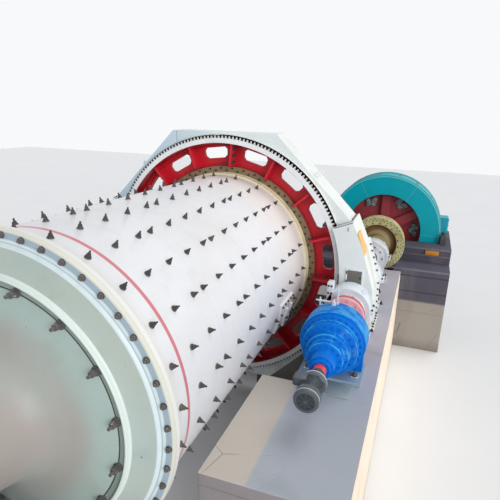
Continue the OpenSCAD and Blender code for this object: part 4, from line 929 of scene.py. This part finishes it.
reducer_finish = painted("reducer_blue", srgb(0, 112, 210), srgb(0, 78, 168), 0.4, 0.35, 0.02,
                         srgb(80, 160, 210), gloss=0.12, layers=reducer_layers)
casing = [
    (0.09, 0.0), (0.142, 0.0), (0.150, 0.008), (0.150, 0.046), (0.156, 0.052), (0.176, 0.054), (0.185, 0.062),
    (0.185, 0.252), (0.194, 0.270), (0.262, 0.290), (0.271, 0.2945), (0.275, 0.302), (0.275, 0.330),
    (0.266, 0.337), (0.262, 0.346), (0.262, 0.412), (0.275, 0.42), (0.275, 0.440), (0.284, 0.4445),
    (0.326, 0.4545), (0.335, 0.462), (0.335, 0.492), (0.325, 0.499), (0.322, 0.508), (0.322, 0.57),
    (0.335, 0.58), (0.335, 0.603), (0.344, 0.606), (0.429, 0.6265), (0.440, 0.637), (0.440, 0.668),
    (0.429, 0.676), (0.425, 0.685), (0.425, 0.742), (0.440, 0.751), (0.440, 0.7745), (0.450, 0.779),
    (0.486, 0.79), (0.495, 0.799), (0.495, 0.854), (0.502, 0.8605), (0.521, 0.861), (0.530, 0.87),
    (0.530, 1.268), (0.522, 1.281), (0.474, 1.298), (0.464, 1.31), (0.418, 1.43), (0.409, 1.445),
    (0.400, 1.554), (0.394, 1.56), (0.099, 1.56), (0.099, REDUCER_END - NOSE_Y),
    (0.02, REDUCER_END - NOSE_Y), (0.02, 0.0)]
bm = bmesh.new()
turned(bm, casing, DRIVE_AXIS, 128, NOSE_Y)
for number in range(12):
    for reach, start, end in ((0.262, 0.337, 0.42), (0.322, 0.499, 0.58), (0.425, 0.676, 0.751)):
        slab(bm, (-0.007, NOSE_Y + start, reach - 0.02), (0.007, NOSE_Y + end, reach + 0.011), 0.002,
             swung(number * 30 + 15))
piece("reducer_casing", bm, "foundation", reducer_finish, ["reducer_body"])
bm = bmesh.new()
for reach, along, count, size, way, first in (
        (0.122, 0.0, 8, 0.012, -1, 10), (0.168, 0.053, 10, 0.010, -1, 0), (0.232, 0.281, 14, 0.015, -1, 6),
        (0.306, 0.449, 18, 0.014, -1, 0), (0.386, 0.616, 22, 0.016, -1, 4),
        (0.47, 0.785, 26, 0.016, -1, 0), (0.498, 1.29, 26, 0.016, 1, 5)):
    ring_bolts(bm, DRIVE_AXIS, NOSE_Y + along, reach, count, size, way, first, stud=0.4)
piece("reducer_bolts", bm, "foundation", reducer_finish)
finish_node("reducer_foot", reducer_finish, 0.012)
foot_low, foot_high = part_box("reducer_foot")
pale_finish = painted("pale_fittings", srgb(206, 216, 226), srgb(150, 150, 150), 0.34, 0.4, 0.2)
trim, bm = bmesh.new(), bmesh.new()
for x in (DRIVE_X - 0.39, DRIVE_X + 0.39):
    for y in (foot_low.y + 0.2, foot_high.y - 0.06):
        slab(trim, (x - 0.06, y - 0.05, BLOCK_TOP + 0.068), (x + 0.06, y + 0.05, BLOCK_TOP + 0.082), 0.004)
        hex_bolt(bm, (x, y, BLOCK_TOP + 0.082), (0, 0, 1), 0.046)
casing_top = DRIVE_Z + 0.525
upright = aim((2.885, 5.0, casing_top), (0, 0, 1))
arm = aim((2.885, 5.0, casing_top + 0.03), (-1, 0, 0))
post(trim, upright, -0.02, 0.022, 0.026, 0.022, sides=6)
post(trim, upright, 0.0, 0.255, 0.013, sides=12)
post(trim, upright, 0.235, 0.272, 0.024, 0.02, sides=12)
post(trim, arm, -0.03, 0.355, 0.013, sides=12)
post(trim, arm, 0.26, 0.31, 0.021, sides=12)
post(trim, aim((2.6, 5.0, casing_top + 0.03), (0, 0, 1)), -0.09, 0.055, 0.013, sides=12)
slab(trim, (2.805, 4.918, casing_top - 0.05), (2.875, 4.942, casing_top + 0.055), 0.01)
lifting_ring(trim, (2.84, 4.93, casing_top + 0.03), (0, 0, 1), 0.03, 0.009, (1, 0, 0))
piece("reducer_fittings", trim, "foundation", pale_finish)
piece("reducer_foot_bolts", bm, "foundation", head_bolt_finish)
bm = bmesh.new()
slab(bm, (2.5, foot_low.y - 0.4, BLOCK_TOP - 0.002), (3.3, foot_low.y - 0.004, BLOCK_TOP + 0.03), 0.01)
bed_finish = painted("bed_plate", srgb(150, 164, 162), srgb(112, 116, 112), 0.5, 0.5, 0.4, srgb(112, 100, 90))
piece("slow_drive_bed", bm, "foundation", bed_finish)

# Motor of the slow drive
# A small flanged motor with cooling fins and a fan cowl, dark grey, with a terminal box on its left side.
# A dark adapter and a red ring join it to the reducer.
red_ring_finish = painted("neck_red", srgb(232, 56, 68), srgb(150, 36, 44), 0.3, 0.4, 0.3,
                          srgb(240, 150, 150), drips=False, gloss=0.6)
neck_low, neck_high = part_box("slow_drive_neck")
neck_len = neck_high.y - neck_low.y
bm = bmesh.new()
turned(bm, [(0.02, 0.0), (0.086, 0.0), (0.095, 0.008), (0.095, 0.03), (0.089, 0.036), (0.089, 0.052),
            (0.095, 0.058), (0.095, neck_len), (0.02, neck_len)], DRIVE_AXIS, 64, neck_low.y)
piece("slow_drive_ring", bm, "foundation", red_ring_finish, ["slow_drive_neck"])
motor_grey = painted("small_motor_grey", srgb(80, 89, 96), srgb(52, 54, 56), 0.36, 0.6, 0.6,
                     srgb(206, 208, 216), drips=False)
adapter_finish = painted("adapter_dark", srgb(62, 68, 70), srgb(36, 36, 36), 0.45, 0.6, 0.7,
                         srgb(186, 192, 192), drips=False)
rim_finish = painted("pale_rim", srgb(206, 212, 216), srgb(96, 100, 104), 0.3, 0.5, 0.3, drips=False)
adapter_low, adapter_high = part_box("slow_drive_adapter")
SMALL_R = (adapter_high.x - adapter_low.x) / 2
adapter_y, adapter_len = adapter_low.y, adapter_high.y - adapter_low.y
bm = bmesh.new()
turned(bm, [(0.02, 0.0), (SMALL_R - 0.004, 0.0), (SMALL_R - 0.001, 0.004), (SMALL_R - 0.001, 0.022),
            (SMALL_R - 0.008, 0.03), (0.1, 0.045), (0.078, 0.064), (0.077, adapter_len - 0.036),
            (0.085, adapter_len - 0.028), (0.085, adapter_len), (0.02, adapter_len)],
       DRIVE_AXIS, 72, adapter_y)
for angle in (45, 135, 225, 315):
    slab(bm, (-0.006, adapter_y + 0.02, 0.06), (0.006, adapter_y + 0.16, 0.12), 0.002, swung(angle))
piece("slow_drive_lantern", bm, "foundation", adapter_finish, ["slow_drive_adapter"])
bm = bmesh.new()
turned(bm, [(SMALL_R - 0.002, 0.003), (SMALL_R, 0.005), (SMALL_R, 0.021), (SMALL_R - 0.002, 0.023)],
       DRIVE_AXIS, 72, adapter_y)
cowl_low, cowl_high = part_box("slow_motor_cowl")
cowl_y, cowl_len = cowl_low.y, cowl_high.y - cowl_low.y
turned(bm, [(SMALL_R - 0.003, 0.045), (SMALL_R, 0.047), (SMALL_R, 0.062), (SMALL_R - 0.003, 0.064)],
       DRIVE_AXIS, 72, cowl_y)
piece("slow_motor_rims", bm, "foundation", rim_finish)
bm = bmesh.new()
motor_low, motor_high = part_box("slow_motor")
motor_y, motor_len = motor_low.y, motor_high.y - motor_low.y
turned(bm, [(0.02, -0.01), (0.15, -0.01), (0.15, 0.02), (0.136, 0.04), (0.136, motor_len - 0.07),
            (SMALL_R - 0.004, motor_len - 0.05), (SMALL_R - 0.002, motor_len - 0.044),
            (SMALL_R - 0.002, motor_len - 0.006), (SMALL_R - 0.008, motor_len), (0.02, motor_len)],
       DRIVE_AXIS, 72, motor_y)
for number in range(36):
    slab(bm, (-0.003, motor_y + 0.03, 0.13), (0.003, motor_high.y - 0.055, 0.1565), 0.001, swung(number * 10))
BOX_DEPTH = 0.08
BOX_X, BOX_Y, BOX_Z = DRIVE_X - SMALL_R - BOX_DEPTH, motor_high.y, DRIVE_Z + 0.1 * SMALL_R
slab(bm, (BOX_X + 0.012, BOX_Y - 0.19, BOX_Z), (DRIVE_X - 0.08, BOX_Y - 0.02, BOX_Z + 0.125), 0.01)
slab(bm, (BOX_X, BOX_Y - 0.184, BOX_Z + 0.006), (BOX_X + 0.012, BOX_Y - 0.026, BOX_Z + 0.119), 0.004)
ring_bolts(bm, DRIVE_AXIS, motor_high.y - 0.05, 0.155, 8, 0.012, -1, 22, stud=0.3)
piece("slow_motor_body", bm, "foundation", motor_grey, ["slow_motor"])
bm = bmesh.new()
turned(bm, [(0.158, cowl_len + 0.004), (SMALL_R - 0.002, cowl_len + 0.004), (SMALL_R - 0.001, 0.04),
            (SMALL_R - 0.012, 0.012), (SMALL_R - 0.03, 0.002), (0.118, 0.002), (0.118, 0.006),
            (SMALL_R - 0.032, 0.008), (SMALL_R - 0.018, 0.018), (SMALL_R - 0.008, 0.044)],
       DRIVE_AXIS, 72, cowl_y)
for reach in (0.036, 0.058, 0.080, 0.102):
    inner, outer = reach - 0.004, reach + 0.004
    turned(bm, [(inner, 0.002), (outer, 0.002), (outer, 0.008), (inner, 0.008)], DRIVE_AXIS, 48, cowl_y)
for number in range(4):
    slab(bm, (-0.12, cowl_y + 0.003, -0.004), (0.12, cowl_y + 0.009, 0.004), 0.001, swung(number * 45))
post(bm, aim((DRIVE_X, cowl_y + 0.002, DRIVE_Z), (0, -1, 0)), -0.01, 0.002, 0.026, 0.02, sides=20)
piece("slow_motor_fan_cowl", bm, "foundation", motor_grey, ["slow_motor_cowl"])
bm = bmesh.new()
turned(bm, [(0.02, 0.03), (0.14, 0.03), (0.14, 0.05), (0.02, 0.05)], DRIVE_AXIS, 48, cowl_y)
nut_piece("slow_motor_fan", bm)

# Clutch
# A flanged drum joined to the pinion's shaft by a spider, open towards the mill, with two rows of bolts.
# Its paint is worn olive-beige, and the recess is brown with grease and rust.


def clutch_layers(coat_of, result, roughness):
    reach = coat_of.radius(DRIVE_AXIS)
    mottle = coat_of.noise(5, 5, shift=(1, 2, 3)).over(0.44, 0.62)
    deep = 1 - reach.over(0.535, 0.56)
    brown = coat_of.mix(mottle, srgb(128, 96, 42), srgb(84, 58, 28))
    return coat_of.tint(result, (mottle * 0.45, srgb(142, 130, 78)), (deep * 0.9, brown)), roughness


clutch_finish = painted("clutch_olive", srgb(192, 186, 136), srgb(122, 106, 62), 0.42, 0.5, 0.35,
                        srgb(86, 66, 40), drips=False, layers=clutch_layers)
clutch_low, clutch_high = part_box("clutch_drum")
rim = [(0.545, 0.004), (0.553, 0.0), (0.752, 0.0), (0.76, 0.008), (0.76, 0.062), (0.752, 0.07),
       (0.705, 0.086), (0.70, 0.1), (0.70, 0.355), (0.71, 0.364), (0.735, 0.369), (0.74, 0.376),
       (0.74, 0.412), (0.732, 0.42), (0.528, 0.42), (0.52, 0.412), (0.52, 0.15), (0.532, 0.06)]
bm = bmesh.new()
turned(bm, rim, DRIVE_AXIS, 128, clutch_low.y)
piece("clutch_rim", bm, "pinion_line", clutch_finish, ["clutch_drum"])
bm = bmesh.new()
for reach, first in ((0.722, 0), (0.668, 4.5)):
    ring_bolts(bm, DRIVE_AXIS, clutch_low.y, reach, 40, 0.013, -1, first, stud=0.3)
ring_bolts(bm, DRIVE_AXIS, clutch_low.y, 0.585, 20, 0.018, -1, 3, stud=0.4)
ring_bolts(bm, DRIVE_AXIS, clutch_high.y, 0.66, 36, 0.016, 1, 0, stud=0.4)
nut_piece("clutch_bolts", bm, "pinion_line")


def hub_layers(coat_of, result, roughness):
    reach = coat_of.radius(DRIVE_AXIS)
    return coat_of.mix((1 - reach.over(0.34, 0.4)) * 0.8, result, srgb(160, 144, 104)), roughness


hub_finish = painted("clutch_brown", srgb(126, 92, 42), srgb(74, 50, 26), 0.5, 0.6, drips=False,
                     layers=hub_layers)
finish_node("clutch_hub", hub_finish, 0.006)

# Main motor
# A ring-shaped slow motor: a welded frame with end plates in six segments, painted bright teal.
# It straddles a pit on four dark foot blocks, and its terminal box stands on the side away from the mill.


def motor_layers(coat_of, result, roughness):
    reach = coat_of.radius(DRIVE_AXIS)
    # The grey-teal outer hoop is painted shade on the rounded rim, and the light cyan band inside it a
    # painted highlight.
    result = coat_of.tint(result, (reach.over(1.688, 1.694) * 0.75, srgb(96, 150, 152)),
                          (reach.band(1.655, 1.688, 0.004) * 0.55, srgb(112, 214, 218)))
    return result, roughness


motor_finish = painted("motor_teal", srgb(0, 162, 178), srgb(0, 120, 134), 0.3, 0.3, 0.02,
                       srgb(110, 176, 180), drips=False, gloss=0.2, layers=motor_layers)
box_finish = painted("motor_blue_green", srgb(10, 152, 170), srgb(0, 96, 110), 0.3, 0.35, 0.06,
                     srgb(120, 176, 176), gloss=0.35)
frame_low, frame_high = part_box("motor_frame")
FRAME_R, PLATE_R, OPEN_R, CORE_R = 1.73, 1.646, 1.13, 1.41
SEGMENTS, FIRST_SEAM = 6, 91.5
seam_places = [swung(FIRST_SEAM - number * 360 / SEGMENTS) for number in range(SEGMENTS)]
front_side = [
    (CORE_R, 0.14), (OPEN_R + 0.004, 0.06), (OPEN_R, 0.05), (OPEN_R, 0.008), (OPEN_R + 0.006, 0.0),
    (1.648, 0.0), (1.652, 0.006), (1.662, -0.006), (1.676, -0.008), (1.686, 0.0), (1.69, 0.012),
    (1.69, 0.03), (1.712, 0.032), (1.724, 0.042), (FRAME_R, 0.06), (FRAME_R, 0.084), (1.724, 0.1),
    (1.712, 0.11), (1.664, 0.126), (1.66, 0.14)]
outline = [(radius, frame_low.y + reach) for radius, reach in front_side]
outline += [(radius, frame_high.y - reach) for radius, reach in reversed(front_side)]
bm = bmesh.new()
turned(bm, outline, DRIVE_AXIS, 192)
for place in seam_places:
    slab(bm, (-0.016, frame_low.y + 0.12, 1.64), (0.016, frame_high.y - 0.12, 1.715), 0.004, place)
    for shift in (-20, 20):
        slab(bm, (-0.008, frame_low.y + 0.12, 1.64), (0.008, frame_high.y - 0.12, 1.70), 0.003,
             place @ Matrix.Rotation(math.radians(shift), 4, "Y"))
piece("motor_frame_ring", bm, "foundation", motor_finish, ["motor_frame"])
bm = bmesh.new()
# The seam strips are painted a lighter teal as highlights along the seams.
seam_highlight_finish = painted("seam_highlight_teal", srgb(84, 178, 184), srgb(0, 110, 120), 0.34, 0.4, drips=False, gloss=0.35)
for place in seam_places:
    for y in (frame_low.y - 0.001, frame_high.y + 0.001):
        slab(bm, (-0.007, y - 0.003, OPEN_R + 0.004), (0.007, y + 0.003, PLATE_R), 0.001, place)
piece("motor_plate_seams", bm, "foundation", seam_highlight_finish)
bm = bmesh.new()
for way, y in ((-1, frame_low.y), (1, frame_high.y)):
    ring_bolts(bm, DRIVE_AXIS, y, 1.6, 36, 0.014, way, 3, stud=0.3)
    ring_bolts(bm, DRIVE_AXIS, y, OPEN_R + 0.035, 30, 0.012, way, 5, stud=0.3)
piece("motor_plate_bolts", bm, "foundation", motor_finish)
finish_node("motor_terminal_box", box_finish, 0.03, 3)
box_low, box_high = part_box("motor_terminal_box")
bm = bmesh.new()
slab(bm, (box_high.x - 0.002, box_low.y + 0.04, box_low.z + 0.05),
     (box_high.x + 0.012, box_high.y - 0.04, box_high.z - 0.05), 0.005)
for y in (box_low.y + 0.07, box_high.y - 0.07):
    for z in (box_low.z + 0.08, (box_low.z + box_high.z) / 2, box_high.z - 0.08):
        hex_bolt(bm, (box_high.x + 0.012, y, z), (1, 0, 0), 0.014, stud=0)
piece("terminal_box_lid", bm, "foundation", box_finish)

# Rotor, motor bearings and foot blocks
# The rotor's rim is carried by six arms and a closed disc, red, with pale pole leads between the arms.
# Its shaft turns in two dark teal housings on the block, and dark foot blocks carry the frame.
rotor_finish = painted("rotor_red", srgb(156, 60, 66), srgb(84, 34, 42), 0.42, 0.5, drips=False, gloss=0.35)
finish_node("motor_rotor", rotor_finish, 0.01)
rotor_low, rotor_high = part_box("motor_rotor")
rotor_mid = (rotor_low.y + rotor_high.y) / 2
lead_finish = painted("pole_leads", srgb(122, 140, 142), srgb(60, 74, 80), 0.4, 0.8, 0.7, srgb(170, 176, 178),
                      drips=False)
bm, bolts = bmesh.new(), bmesh.new()
for turned_by in range(30, 390, 60):
    place = swung(turned_by)
    for side in (-1, 1):
        face = rotor_mid + side * 0.04
        near, far = sorted((face - side * 0.003, face + side * 0.07))
        slab(bm, (-0.21, near, 0.84), (0.15, far, 0.96), 0.03, place)
        slab(bm, (-0.15, near, 0.94), (-0.02, far, 1.08), 0.03, place)
        slab(bm, (0.02, near, 0.90), (0.2, far, 1.02), 0.03, place)
        slab(bm, (-0.06, near, 0.77), (0.08, far, 0.86), 0.025, place)
        for across in (-0.14, 0.0, 0.1):
            hex_bolt(bolts, place @ Vector((across, face + side * 0.07, 0.9)), (0, side, 0), 0.02)
ring_bolts(bolts, DRIVE_AXIS, rotor_mid - 0.3, 0.34, 16, 0.024, -1)
ring_bolts(bolts, DRIVE_AXIS, rotor_mid + 0.3, 0.34, 16, 0.024, 1)
piece("rotor_leads", bm, "pinion_line", lead_finish)
nut_piece("rotor_bolts", bolts, "pinion_line")
motor_bearing_finish = painted("motor_bearing_teal", srgb(20, 84, 96), srgb(40, 44, 46), 0.4, 0.5, 0.2,
                               gloss=0.4)
bm, trim = bmesh.new(), bmesh.new()
for name in ("motor_bearing_near", "motor_bearing_far"):
    finish_node(name, motor_bearing_finish, 0.012)
    housing_trim(bm, trim, name, top_r=0.38, shaft_r=0.19, foot_half=0.52, cover_r=0.31)
piece("motor_bearing_trim", trim, "foundation", motor_bearing_finish)
finish_node("motor_soles", dark_finish, 0.01)
sole_low, sole_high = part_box("motor_soles")
for x in (sole_low.x + 0.09, sole_high.x - 0.09):
    for y in (sole_low.y + 0.09, sole_high.y - 0.09):
        hex_bolt(bm, (x, y, sole_high.z), (0, 0, 1), 0.05, stud=1.2)
nut_piece("motor_base_bolts", bm)
